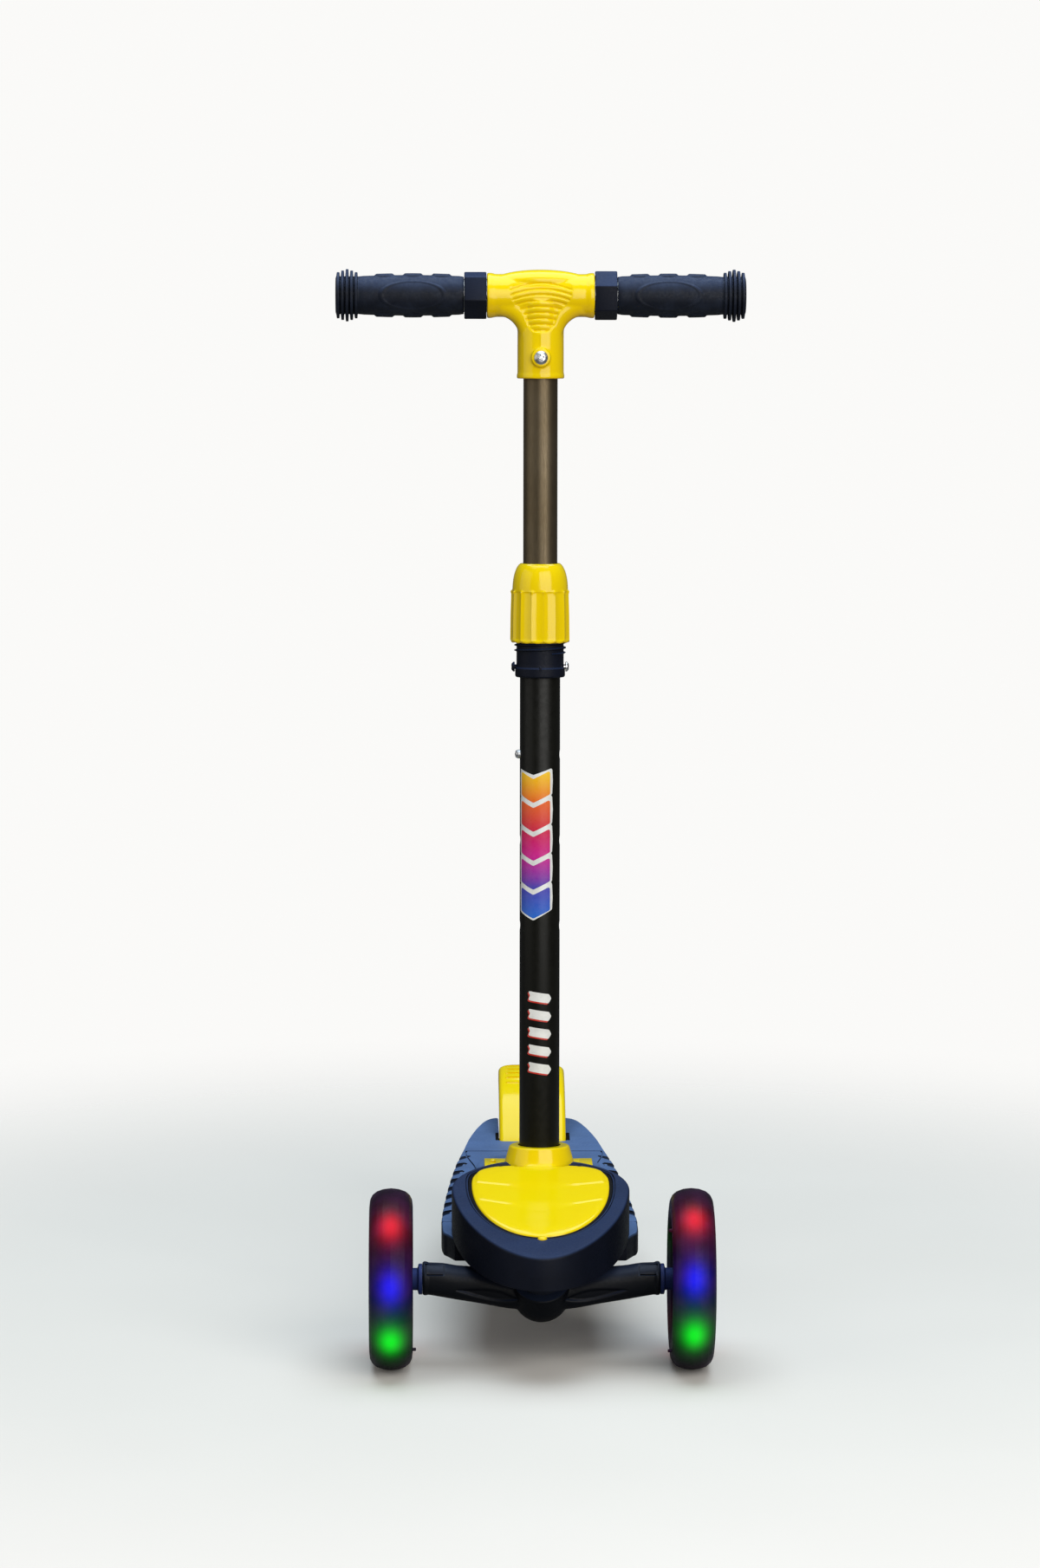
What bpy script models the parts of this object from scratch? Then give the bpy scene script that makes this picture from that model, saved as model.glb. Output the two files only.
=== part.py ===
"""Three-wheel kick scooter for a child: two wheels on a lean-to-steer beam in front, one wheel
under a brake plate behind, and a telescoping column with a T-shaped handlebar.

Metres, +Z up, front towards -Y, the rider's right towards -X. The origin is on the floor, under
the middle of the scooter. Every piece hangs on the empty front_axle_floor, whose origin is on the
floor under the front axle.
"""

from math import atan2, cos, pi, radians, sin, tan

import bmesh
import bpy
from mathutils import Matrix, Vector

# Fits between pieces
SEAT_GAP = 0.0003
RUNNING_GAP = 0.0005

# Front wheels
WHEEL_RADIUS = 0.060
WHEEL_HALF_WIDTH = 0.0144
WHEEL_CENTRE_X = 0.0995
TYRE_BORE_RADIUS = 0.0365
CORE_HUB_HALF = 0.0093
BEARING_RADIUS = 0.011
BEARING_BORE_RADIUS = 0.0042
BEARING_WIDTH = 0.007
AXLE_RADIUS = 0.0039
AXLE_HEAD_RADIUS = 0.0068
AXLE_HEAD_HEIGHT = 0.0042
AXLE_NUT_RADIUS = 0.0074
AXLE_NUT_HEIGHT = 0.0058

# Rear wheel
REAR_WHEEL_RADIUS = 0.045
REAR_WHEEL_HALF_WIDTH = 0.012
REAR_TYRE_BORE_RADIUS = 0.0285
REAR_HUB_HALF = 0.0115
WHEELBASE = 0.378

# Steering beam
BEAM_END_X = 0.0788
BEAM_END_RADIUS = 0.01025
BEAM_DROP = 0.011
HUB_RADIUS = 0.019
HUB_TOP = 0.013
PIVOT_HEIGHT = 0.050
PIVOT_LEAN = radians(35)
PIVOT_BOLT_RADIUS = 0.004
PIVOT_BUSH_RADIUS = 0.0054
PIVOT_HEAD_FACE = -0.011
PIVOT_HEAD_RADIUS = 0.0072
PIVOT_WASHER_THICKNESS = 0.0017
PIVOT_BOSS_RADIUS = 0.0145
PIVOT_BOSS_LENGTH = 0.0185
STEER_SPRING_X = 0.030
STEER_SPRING_Y = 0.004
STEER_SPRING_RADIUS = 0.0052
STEER_SPRING_WIRE = 0.0008
STEER_SPRING_TURNS = 4
SPRING_PAD_TOP = 0.0645
SPRING_POST_BOTTOM = 0.0770
SPRING_POST_RADIUS = 0.0078

# Nose housing and its yellow cover
NOSE_HALF_WIDTH = 0.0593
NOSE_CENTRE_Y = 0.034
NOSE_FRONT = 0.0916
NOSE_REAR = 0.039
NOSE_SHAPE = 1.7
NOSE_SLOPE = radians(16)
NOSE_TIP_TOP = 0.0878
SKIRT_TIP_BOTTOM = 0.0652
BEZEL_WALL = 0.0028
COVER_HALF_WIDTH = 0.0460
COVER_CENTRE_Y = 0.038
COVER_FRONT = 0.0675
COVER_REAR = 0.0250
COVER_THICKNESS = 0.0028
COVER_GROOVE = 0.0009
SHIELD_REAR_Y = 0.061
CONE_RIM = 0.0220
CONE_RIM_RADIUS = 0.0200
CONE_BASE_RADIUS = 0.0252
CONE_HOLE_RADIUS = 0.01435

# Deck
DECK_BOTTOM = 0.066
DECK_TOP = 0.082
DECK_FRONT_Y = 0.024
DECK_HALF_WIDTH = 0.066
TAIL_BEHIND_AXLE = 0.025
TAIL_RAIL_WIDTH = 0.0067
DECK_EDGE = 0.0016
DECK_WALL = 0.0045
TAIL_STEP_AHEAD_OF_AXLE = 0.082
TAIL_STEP_DEPTH = 0.0012
SLOT_HALF_WIDTH = 0.0263
SLOT_AHEAD_OF_AXLE = 0.050
POCKET_ROWS = 3
POCKET_RIB = 0.005
HUMP_CENTRE_Y = 0.100
HUMP_HALF_WIDTH = 0.046
HUMP_HALF_LENGTH = 0.052
HUMP_TOP = 0.112
FORK_THICKNESS = 0.0054
FORK_BOSS_RADIUS = 0.0115

# Column
COLUMN_Y = 0.0845
COLUMN_BASE_HEIGHT = 0.110
COLUMN_RAKE = radians(4)
LOWER_TUBE_RADIUS = 0.0135
LOWER_TUBE_WALL = 0.0013
LOWER_TUBE_FOOT = -0.0395
LOWER_TUBE_TOP = 0.378
SOCKET_RADIUS = 0.0172
SOCKET_TOP = 0.0168
COLUMN_BOSS_RADIUS = 0.021
UPPER_TUBE_RADIUS = 0.01145
UPPER_TUBE_WALL = 0.0012
UPPER_TUBE_FOOT = 0.256
UPPER_TUBE_DROP = 0.0134
HEIGHT_HOLE_TOP = 0.2866
HEIGHT_HOLE_PITCH = 0.0578
HEIGHT_HOLES = 3
SNAP_RADIUS = 0.003
SNAP_PROUD = 0.0034

# Clamp on the column
COLLAR_BOTTOM = 0.3386
COLLAR_FLANGE_TOP = 0.3454
COLLAR_FLANGE_RADIUS = 0.0167
COLLAR_BODY_RADIUS = 0.0159
COLLAR_TOP = 0.384
THREAD_START = 0.3532
THREAD_PITCH = 0.0035
THREAD_TURNS = 3
THREAD_CREST_RADIUS = 0.01735
NUT_BOTTOM = 0.3618
NUT_TOP = 0.4147
NUT_RADIUS = 0.02005
NUT_FLUTE_TOP = 0.3961
NUT_FLUTES = 15
NUT_FLUTE_DEPTH = 0.0007
NUT_BORE_RADIUS = 0.0178
WEDGE_HEIGHT = 0.0115

# Handlebar
BAR_HEIGHT = 0.5934
BAR_HALF_LENGTH = 0.1345
BAR_RADIUS = 0.0110
BAR_WALL = 0.0013
TEE_SLEEVE_DROP = 0.0554
TEE_HALF_WIDTH = 0.0359
TEE_ARM_RADIUS = 0.0143
TEE_SLEEVE_RADIUS = 0.0155
TEE_SCREW_DROP = 0.0412
TEE_BOSS_RADIUS = 0.0063
TEE_BOSS_FACE = 0.0180
TEE_SCREW_RADIUS = 0.0022
BAR_COLLAR_LENGTH = 0.0148
BAR_COLLAR_CORNER_RADIUS = 0.0166
GRIP_END_WALL = 0.0024
GRIP_RADIUS = 0.0131
GRIP_FLANGE_RADIUS = 0.0174

# Rear brake plate
BRAKE_PIN_AHEAD_OF_AXLE = 0.0427
BRAKE_PIN_HEIGHT = 0.0743
BRAKE_PIN_RADIUS = 0.0020
BRAKE_PIN_SEAT = 0.0045
BRAKE_BARREL_RADIUS = 0.0048
BRAKE_SPRING_WIRE = 0.0005
BRAKE_SPRING_RADIUS = 0.0029
BRAKE_SPRING_HALF_LENGTH = 0.0042
BRAKE_SPRING_LEG = 0.0085
BRAKE_NOTCH_HALF_WIDTH = 0.0056
FENDER_HALF_WIDTH = 0.0235
FENDER_THICKNESS = 0.0032
FENDER_FLANGE_DEPTH = 0.0070
FENDER_ARC_RADIUS = 0.121
FENDER_END_BEHIND_AXLE = 0.037
FENDER_END_HEIGHT = 0.119
FENDER_END_SLOPE = radians(3.4)
FENDER_START_SLOPE = radians(48.5)
FENDER_GROOVES = 5
BRAKE_RIB_GAP = 0.0046
BRAKE_RIB_FRONT = 0.016
BRAKE_RIB_REAR = 0.014
BRAKE_RIB_THICKNESS = 0.0024
BRAKE_RIB_SPACING = 0.0080

# Latch that holds the column in its socket
LATCH_HALF_WIDTH = 0.0345
LATCH_FRONT_Y = 0.106
LATCH_LENGTH = 0.022
LATCH_THICKNESS = 0.003
LATCH_TRAVEL = 0.0045
TOOTH_HALF_WIDTH = 0.0040
TOOTH_BOTTOM = 0.1035
LATCH_SPRING_WIRE = 0.0003
LATCH_SPRING_TURNS = 4

# Places that follow from the sizes above
DECK_TAIL_Y = WHEELBASE + TAIL_BEHIND_AXLE
TAIL_STEP_Y = WHEELBASE - TAIL_STEP_AHEAD_OF_AXLE
SLOT_FRONT_Y = WHEELBASE - SLOT_AHEAD_OF_AXLE
BRAKE_PIN_Y = WHEELBASE - BRAKE_PIN_AHEAD_OF_AXLE
TEE_BOTTOM = BAR_HEIGHT - TEE_SLEEVE_DROP
TEE_SCREW_HEIGHT = BAR_HEIGHT - TEE_SCREW_DROP
UPPER_TUBE_TOP = BAR_HEIGHT - UPPER_TUBE_DROP
GRIP_END_X = BAR_HALF_LENGTH + GRIP_END_WALL
FENDER_END_Y = WHEELBASE + FENDER_END_BEHIND_AXLE
FENDER_MIDDLE_Y = FENDER_END_Y + FENDER_ARC_RADIUS * sin(FENDER_END_SLOPE)
FENDER_MIDDLE_HEIGHT = FENDER_END_HEIGHT - FENDER_ARC_RADIUS * cos(FENDER_END_SLOPE)

REAR_END_Y = WHEELBASE + REAR_WHEEL_RADIUS
FRONT_AXLE_Y = (WHEEL_RADIUS - REAR_END_Y) / 2

ROUND_STEPS = 20
SMALL_STEPS = 14
WHEEL_STEPS = 24
NOSE_POINTS = 36

SIDES = (("right", -1), ("left", 1))


# Scene and materials

def clear_scene():
    for thing in list(bpy.data.objects):
        bpy.data.objects.remove(thing, do_unlink=True)


def make_material(name, colour, roughness, metallic=0.0, alpha=1.0):
    material = bpy.data.materials.new(name)
    material.use_nodes = True
    shader = material.node_tree.nodes["Principled BSDF"]
    shader.inputs["Base Color"].default_value = (*colour, 1.0)
    shader.inputs["Roughness"].default_value = roughness
    shader.inputs["Metallic"].default_value = metallic
    shader.inputs["Alpha"].default_value = alpha
    return material


clear_scene()
YELLOW_PLASTIC = make_material("yellow_plastic", (0.86, 0.65, 0.0), 0.22)
NAVY_PLASTIC = make_material("navy_black_plastic", (0.011, 0.015, 0.030), 0.42)
GRIP_RUBBER = make_material("grip_rubber", (0.010, 0.013, 0.024), 0.62)
BLACK_TUBE = make_material("satin_black_tube", (0.006, 0.006, 0.005), 0.30, 0.4)
GUNMETAL_TUBE = make_material("gunmetal_tube", (0.16, 0.13, 0.09), 0.34, 0.9)
CHROME = make_material("chrome", (0.75, 0.75, 0.75), 0.10, 1.0)
ZINC_STEEL = make_material("zinc_steel", (0.45, 0.46, 0.48), 0.32, 1.0)
SPRING_STEEL = make_material("spring_steel", (0.28, 0.28, 0.30), 0.35, 1.0)
SMOKY_TYRE = make_material("smoky_tyre", (0.030, 0.022, 0.030), 0.25)
CORE_PLASTIC = make_material("wheel_core_plastic", (0.012, 0.012, 0.016), 0.40)
LIGHT_RING = make_material("light_ring_plastic", (0.55, 0.55, 0.60), 0.30)


# Objects

def new_object(name, shape, finish, parent, location=(0, 0, 0), rotation=(0, 0, 0)):
    """One object from a bmesh, placed in its parent's frame."""
    bmesh.ops.remove_doubles(shape, verts=shape.verts, dist=1e-7)
    bmesh.ops.recalc_face_normals(shape, faces=shape.faces)
    mesh = bpy.data.meshes.new(name)
    shape.to_mesh(mesh)
    shape.free()
    mesh.shade_smooth()
    mesh.set_sharp_from_angle(angle=radians(35))
    item = bpy.data.objects.new(name, mesh)
    bpy.context.scene.collection.objects.link(item)
    if finish:
        mesh.materials.append(finish)
    item.parent = parent
    item.location = location
    item.rotation_euler = rotation
    return item


def new_frame(name, parent, location, rotation=(0, 0, 0)):
    frame = bpy.data.objects.new(name, None)
    bpy.context.scene.collection.objects.link(frame)
    frame.empty_display_size = 0.02
    frame.parent = parent
    frame.location = location
    frame.rotation_euler = rotation
    return frame


def combine(target, operation, shape, parent, location=(0, 0, 0), rotation=(0, 0, 0)):
    """A Boolean of the target with a hidden helper, which is placed in the given parent's frame."""
    number = len(target.modifiers)
    helper = new_object(f"{target.name}_helper_{number}", shape, None, parent, location, rotation)
    helper.hide_render = True
    helper.display_type = "WIRE"
    modifier = target.modifiers.new(helper.name, "BOOLEAN")
    modifier.operation = operation
    modifier.solver = "EXACT"
    modifier.object = helper


def cut(target, shape, parent, location=(0, 0, 0), rotation=(0, 0, 0)):
    combine(target, "DIFFERENCE", shape, parent, location, rotation)


def join(target, shape, parent, location=(0, 0, 0), rotation=(0, 0, 0)):
    combine(target, "UNION", shape, parent, location, rotation)


# Shapes

def turned(outline, closed=True, steps=ROUND_STEPS):
    """(radius, height) points turned round Z. A closed outline is a ring; an open one ends on the axis."""
    shape = bmesh.new()
    verts = [shape.verts.new((radius, 0.0, height)) for radius, height in outline]
    edges = [shape.edges.new(pair) for pair in zip(verts, verts[1:])]
    if closed:
        edges.append(shape.edges.new((verts[-1], verts[0])))
    bmesh.ops.spin(
        shape, geom=verts + edges, axis=(0, 0, 1), cent=(0, 0, 0), angle=2 * pi, steps=steps, use_merge=True
    )
    bmesh.ops.remove_doubles(shape, verts=shape.verts, dist=1e-6)
    return shape


def tube(outer, inner, low, high, steps=ROUND_STEPS):
    return turned([(outer, low), (outer, high), (inner, high), (inner, low)], steps=steps)


def rod(radius, low, high, steps=ROUND_STEPS):
    return turned([(0, low), (radius, low), (radius, high), (0, high)], closed=False, steps=steps)


def drill(radius, low, high, steps=ROUND_STEPS):
    """A rod to cut with, turned so that its corners miss the seams of the piece that it goes into."""
    shape = rod(radius, low, high, steps)
    shape.transform(Matrix.Rotation(0.7 * pi / steps, 4, "Z"))
    return shape


def box(low, high):
    shape = bmesh.new()
    bmesh.ops.create_cube(shape, size=1.0)
    size = Vector(high) - Vector(low)
    middle = (Vector(high) + Vector(low)) / 2
    shape.transform(Matrix.Translation(middle) @ Matrix.Diagonal((*size, 1.0)))
    return shape


def stacked(rings, closed=False):
    """Rings of points joined in order: with a cap at each end or, when closed, last ring to first."""
    shape = bmesh.new()
    loops = [[shape.verts.new(point) for point in ring] for ring in rings]
    pairs = list(zip(loops, loops[1:]))
    if closed:
        pairs.append((loops[-1], loops[0]))
    for low, high in pairs:
        for i in range(len(low)):
            j = (i + 1) % len(low)
            shape.faces.new((low[i], low[j], high[j], high[i]))
    if not closed:
        shape.faces.new(loops[0])
        shape.faces.new(loops[-1])
    return shape


def prism(outline, low, high, across="Z"):
    """An outline pushed along X, with points (y, z), or along Z, with points (x, y)."""
    if across == "X":
        return stacked([[(end, a, b) for a, b in outline] for end in (low, high)])
    return stacked([[(a, b, end) for a, b in outline] for end in (low, high)])


def arc(centre, radius, start, end, steps):
    """Points on an arc, both ends included, with the angles in radians."""
    turn = (end - start) / steps
    return [
        (centre[0] + radius * cos(start + turn * i), centre[1] + radius * sin(start + turn * i))
        for i in range(steps + 1)
    ]


def polar_ring(radius_at, height, count):
    angles = [2 * pi * i / count for i in range(count)]
    return [(radius_at(a) * cos(a), radius_at(a) * sin(a), height) for a in angles]


def oval(half_width, centre_y, front, rear, front_shape, rear_shape, count=NOSE_POINTS):
    """A closed outline from two half superellipses that meet on the line y = centre_y."""
    points = []
    for i in range(count):
        angle = 2 * pi * (i + 0.5) / count
        across, along = cos(angle), sin(angle)
        power = 2 / (front_shape if along < 0 else rear_shape)
        reach = front if along < 0 else rear
        x = half_width * abs(across) ** power * (1 if across > 0 else -1)
        y = centre_y + reach * abs(along) ** power * (1 if along > 0 else -1)
        points.append((x, y))
    return points


def smooth_through(points, steps):
    """A smooth curve through the points, with the given steps between each pair."""

    def between(a, b, c, d, t):
        curved = (2 * a - 5 * b + 4 * c - d) * t**2 + (3 * b - a - 3 * c + d) * t**3
        return 0.5 * (2 * b + (c - a) * t + curved)

    curve = []
    ends = [points[0], *points, points[-1]]
    for four in zip(ends, ends[1:], ends[2:], ends[3:]):
        for i in range(steps):
            curve.append(tuple(between(*values, i / steps) for values in zip(*four)))
    curve.append(points[-1])
    return curve


def inset(outline, distance):
    """The outline, listed anticlockwise, moved inwards by the distance."""
    moved = []
    count = len(outline)
    for i in range(count):
        before, here, after = Vector(outline[i - 1]), Vector(outline[i]), Vector(outline[(i + 1) % count])
        first = (here - before).normalized()
        second = (after - here).normalized()
        normal = Vector((-first.y - second.y, first.x + second.x)).normalized()
        stretch = 1 / max(0.5, normal.dot(Vector((-second.y, second.x))))
        moved.append(tuple(here + normal * distance * stretch))
    return moved


def wire(path, radius, sides=5):
    """Round wire along the points of a path, as one closed tube."""
    points = [Vector(point) for point in path]
    across = None
    rings = []
    for i, middle in enumerate(points):
        along = (points[min(i + 1, len(points) - 1)] - points[max(i - 1, 0)]).normalized()
        start = across or along.orthogonal()
        across = (start - along * start.dot(along)).normalized()
        up = along.cross(across)
        turns = [2 * pi * k / sides for k in range(sides)]
        rings.append([middle + radius * (across * cos(t) + up * sin(t)) for t in turns])
    return stacked(rings)


def coil(radius, low, high, first, last, steps_a_turn=8):
    """Points of a helix round Z between two heights and two angles."""
    count = max(2, round(abs(last - first) / (2 * pi) * steps_a_turn))
    parts = [i / count for i in range(count + 1)]
    angles = [first + (last - first) * part for part in parts]
    return [(radius * cos(a), radius * sin(a), low + (high - low) * part) for a, part in zip(angles, parts)]


# Shared surfaces

def nose_face(y):
    """Height of the sloping face of the nose."""
    return NOSE_TIP_TOP + (y - NOSE_CENTRE_Y + NOSE_FRONT) * tan(NOSE_SLOPE)


def skirt_bottom(y):
    """Height of the lower edge of the nose skirt, which rises from its tip to the deck."""
    back = y - NOSE_CENTRE_Y + NOSE_FRONT
    return min(DECK_TOP + SEAT_GAP, SKIRT_TIP_BOTTOM + 0.0794 * back + 1.53 * back**2)


def nose_outline(offset=0.0):
    return oval(
        NOSE_HALF_WIDTH - offset, NOSE_CENTRE_Y, NOSE_FRONT - offset, NOSE_REAR - offset, NOSE_SHAPE, 2.0
    )


def cover_outline(offset=0.0):
    return oval(
        COVER_HALF_WIDTH - offset, COVER_CENTRE_Y, COVER_FRONT - offset, COVER_REAR - offset, 2.0, 3.2
    )


def on_face(outline, drop):
    return [(x, y, nose_face(y) - drop) for x, y in outline]


def deck_half_width(y):
    """Half the width of the deck at a place along it, for the pockets below."""
    taper = max(0.0, (y - 0.085) / (DECK_TAIL_Y - 0.085))
    return DECK_HALF_WIDTH - 0.026 * taper**1.55


# Frames

FLOOR = new_frame("front_axle_floor", None, (0, FRONT_AXLE_Y, 0))
COLUMN = new_frame("column_line", FLOOR, (0, COLUMN_Y, COLUMN_BASE_HEIGHT), (-COLUMN_RAKE, 0, 0))
MAST = new_frame("mast_slide", COLUMN, (0, 0, 0))
PIVOT = new_frame("steering_pivot", FLOOR, (0, 0, PIVOT_HEIGHT), (PIVOT_LEAN, 0, 0))
BRAKE = new_frame("brake_hinge", FLOOR, (0, BRAKE_PIN_Y, BRAKE_PIN_HEIGHT), (0, pi / 2, 0))


# Handlebar and upper column

def tee():
    """The T-piece: a sleeve on the column, two arms that hold the handlebar, and the web between them."""
    sleeve = rod(TEE_SLEEVE_RADIUS, TEE_BOTTOM, BAR_HEIGHT - 0.0037)
    item = new_object("tee", sleeve, YELLOW_PLASTIC, MAST)
    lip = TEE_ARM_RADIUS + 0.0007
    arms = turned(
        [
            (0, -TEE_HALF_WIDTH),
            (lip - 0.0008, -TEE_HALF_WIDTH),
            (lip, -TEE_HALF_WIDTH + 0.0008),
            (lip, -TEE_HALF_WIDTH + 0.0035),
            (TEE_ARM_RADIUS, -TEE_HALF_WIDTH + 0.0050),
            (TEE_ARM_RADIUS, TEE_HALF_WIDTH - 0.0050),
            (lip, TEE_HALF_WIDTH - 0.0035),
            (lip, TEE_HALF_WIDTH - 0.0008),
            (lip - 0.0008, TEE_HALF_WIDTH),
            (0, TEE_HALF_WIDTH),
        ],
        closed=False,
    )
    join(item, arms, MAST, (0, 0, BAR_HEIGHT), (0, pi / 2, 0))
    # The web's outline, seen from the front, with a fillet under each arm and a crown on top.
    fillet = 0.0135
    corner = (TEE_SLEEVE_RADIUS - 0.0008 + fillet, -TEE_ARM_RADIUS + 0.0006 - fillet)
    under = arc(corner, fillet, pi / 2, pi, 6)
    crown = 0.0032
    half = TEE_HALF_WIDTH - 0.007
    top = [
        (half * cos(pi * i / 10), TEE_ARM_RADIUS - 0.0012 + crown * sin(pi * i / 10)) for i in range(11)
    ]
    right_side = under
    left_side = [(-x, z) for x, z in reversed(under)]
    outline = [*reversed(right_side), *top, *reversed(left_side)]
    web_depth = 0.0098
    web = stacked([[(x, end, z) for x, z in outline] for end in (-web_depth, web_depth)])
    join(item, web, MAST, (0, 0, BAR_HEIGHT))
    boss = [(0, 0), (TEE_BOSS_RADIUS, 0), (TEE_BOSS_RADIUS - 0.0006, TEE_BOSS_FACE), (0, TEE_BOSS_FACE)]
    boss_shape = turned(boss, closed=False, steps=SMALL_STEPS)
    join(item, boss_shape, MAST, (0, 0, TEE_SCREW_HEIGHT), (pi / 2, 0, 0))
    cut(item, drill(BAR_RADIUS + SEAT_GAP, -0.05, 0.05, 26), MAST, (0, 0, BAR_HEIGHT), (0, pi / 2, 0))
    cut(item, drill(UPPER_TUBE_RADIUS + SEAT_GAP, TEE_BOTTOM - 0.01, UPPER_TUBE_TOP + SEAT_GAP, 26), MAST)
    cut(item, tee_screw_hole(), MAST, (0, 0, TEE_SCREW_HEIGHT), (pi / 2, 0, 0))


def tee_screw_hole():
    return drill(TEE_SCREW_RADIUS + 0.0004, 0.005, 0.03, SMALL_STEPS)


def tee_screw():
    seat = TEE_BOSS_FACE + SEAT_GAP
    outline = [
        (0, 0.0075),
        (TEE_SCREW_RADIUS, 0.0075),
        (TEE_SCREW_RADIUS, seat),
        (0.0046, seat),
        (0.0044, seat + 0.0012),
        (0.0030, seat + 0.0021),
        (0, seat + 0.0024),
    ]
    shape = turned(outline, closed=False, steps=SMALL_STEPS)
    item = new_object("tee_screw", shape, CHROME, MAST, (0, 0, TEE_SCREW_HEIGHT), (pi / 2, 0, 0))
    for half_x, half_y in ((0.0026, 0.0005), (0.0005, 0.0026)):
        slot = box((-half_x, -half_y, seat + 0.0010), (half_x, half_y, seat + 0.005))
        cut(item, slot, MAST, (0, 0, TEE_SCREW_HEIGHT), (pi / 2, 0, 0))


def handlebar_tube():
    shape = tube(BAR_RADIUS, BAR_RADIUS - BAR_WALL, -BAR_HALF_LENGTH, BAR_HALF_LENGTH)
    new_object("handlebar_tube", shape, ZINC_STEEL, MAST, (0, 0, BAR_HEIGHT), (0, pi / 2, 0))


def bar_collar(side_name, side):
    """A six-sided collar that locks the bar in the tee, with a round bore."""
    turn = radians(-18) if side < 0 else radians(-8)
    flat = BAR_COLLAR_CORNER_RADIUS * cos(pi / 6)

    def six_sided(shrink):
        def radius_at(angle):
            nearest = (angle + turn) % (pi / 3) - pi / 6
            return (flat - shrink) / cos(nearest)
        return radius_at

    start = TEE_HALF_WIDTH + SEAT_GAP
    end = start + BAR_COLLAR_LENGTH
    chamfer = 0.0008
    count = 24
    bore = BAR_RADIUS + SEAT_GAP
    rings = [
        polar_ring(lambda a: bore, start, count),
        polar_ring(six_sided(chamfer), start, count),
        polar_ring(six_sided(0), start + chamfer, count),
        polar_ring(six_sided(0), end - chamfer, count),
        polar_ring(six_sided(chamfer), end, count),
        polar_ring(lambda a: bore, end, count),
    ]
    new_object(
        f"{side_name}_bar_collar",
        stacked(rings, closed=True),
        NAVY_PLASTIC,
        MAST,
        (0, 0, BAR_HEIGHT),
        (0, side * pi / 2, 0),
    )


def grip(side_name, side):
    """A rubber grip with a barrel-shaped body and five thin ribs at its closed end."""
    start = TEE_HALF_WIDTH + BAR_COLLAR_LENGTH + 2 * SEAT_GAP
    ribs_start = GRIP_END_X - 0.0150
    bore = BAR_RADIUS + SEAT_GAP
    body = [
        (bore, start),
        (GRIP_RADIUS - 0.0009, start),
        (GRIP_RADIUS, start + 0.004),
        (GRIP_RADIUS + 0.0004, (start + ribs_start) / 2),
        (GRIP_RADIUS, ribs_start - 0.004),
        (GRIP_RADIUS - 0.0003, ribs_start),
    ]
    pitch = (GRIP_END_X - ribs_start) / 5
    for i in range(5):
        crest = GRIP_FLANGE_RADIUS - 0.0010 * abs(i - 2)
        low = ribs_start + pitch * i
        body.append((crest, low + pitch * 0.45))
        if i < 4:
            body.append((GRIP_RADIUS - 0.0004, low + pitch))
    body += [
        (GRIP_RADIUS - 0.002, GRIP_END_X - 0.0004),
        (0.0035, GRIP_END_X),
        (0.0035, BAR_HALF_LENGTH + SEAT_GAP),
        (bore, BAR_HALF_LENGTH + SEAT_GAP),
    ]
    new_object(
        f"{side_name}_grip", turned(body), GRIP_RUBBER, MAST, (0, 0, BAR_HEIGHT), (0, side * pi / 2, 0)
    )


def upper_tube():
    inner = UPPER_TUBE_RADIUS - UPPER_TUBE_WALL
    item = new_object(
        "upper_tube", tube(UPPER_TUBE_RADIUS, inner, UPPER_TUBE_FOOT, UPPER_TUBE_TOP), GUNMETAL_TUBE, MAST
    )
    button_hole = drill(SNAP_RADIUS + SEAT_GAP, 0.005, 0.02, SMALL_STEPS)
    cut(item, button_hole, MAST, (0, 0, HEIGHT_HOLE_TOP), (0, -pi / 2, 0))
    cut(item, tee_screw_hole(), MAST, (0, 0, TEE_SCREW_HEIGHT), (pi / 2, 0, 0))


def snap_button():
    """The sprung pin on the column's right side that drops into one of the height holes."""
    flange_inner = 0.0070
    flange_outer = 0.0086
    tip = LOWER_TUBE_RADIUS + SNAP_PROUD
    outline = [
        (0, flange_inner),
        (0.0040, flange_inner),
        (0.0040, flange_outer),
        (SNAP_RADIUS, flange_outer),
        (SNAP_RADIUS, tip - 0.0018),
        (SNAP_RADIUS * 0.72, tip - 0.0005),
        (0, tip),
    ]
    new_object(
        "snap_button",
        turned(outline, closed=False, steps=SMALL_STEPS),
        ZINC_STEEL,
        MAST,
        (0, 0, HEIGHT_HOLE_TOP),
        (0, -pi / 2, 0),
    )


def snap_spring():
    """A bent leaf inside the upper tube: one leg behind the button, the other on the far wall."""
    leaf = 0.0006
    half_width = 0.0028
    button_leg = -0.0067
    wall_leg = 0.0098
    radius = (wall_leg - button_leg) / 2
    middle = (wall_leg + button_leg) / 2
    bend = HEIGHT_HOLE_TOP - 0.0150
    top = HEIGHT_HOLE_TOP + 0.005
    outer = [(button_leg, top), *arc((middle, bend), radius, pi, 2 * pi, 10), (wall_leg, top)]
    round_inside = arc((middle, bend), radius - leaf, 2 * pi, pi, 10)
    inner = [(wall_leg - leaf, top), *round_inside, (button_leg + leaf, top)]
    shape = stacked([[(x, end, z) for x, z in outer + inner] for end in (-half_width, half_width)])
    new_object("snap_spring", shape, SPRING_STEEL, MAST)


# Clamp and lower column

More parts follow.
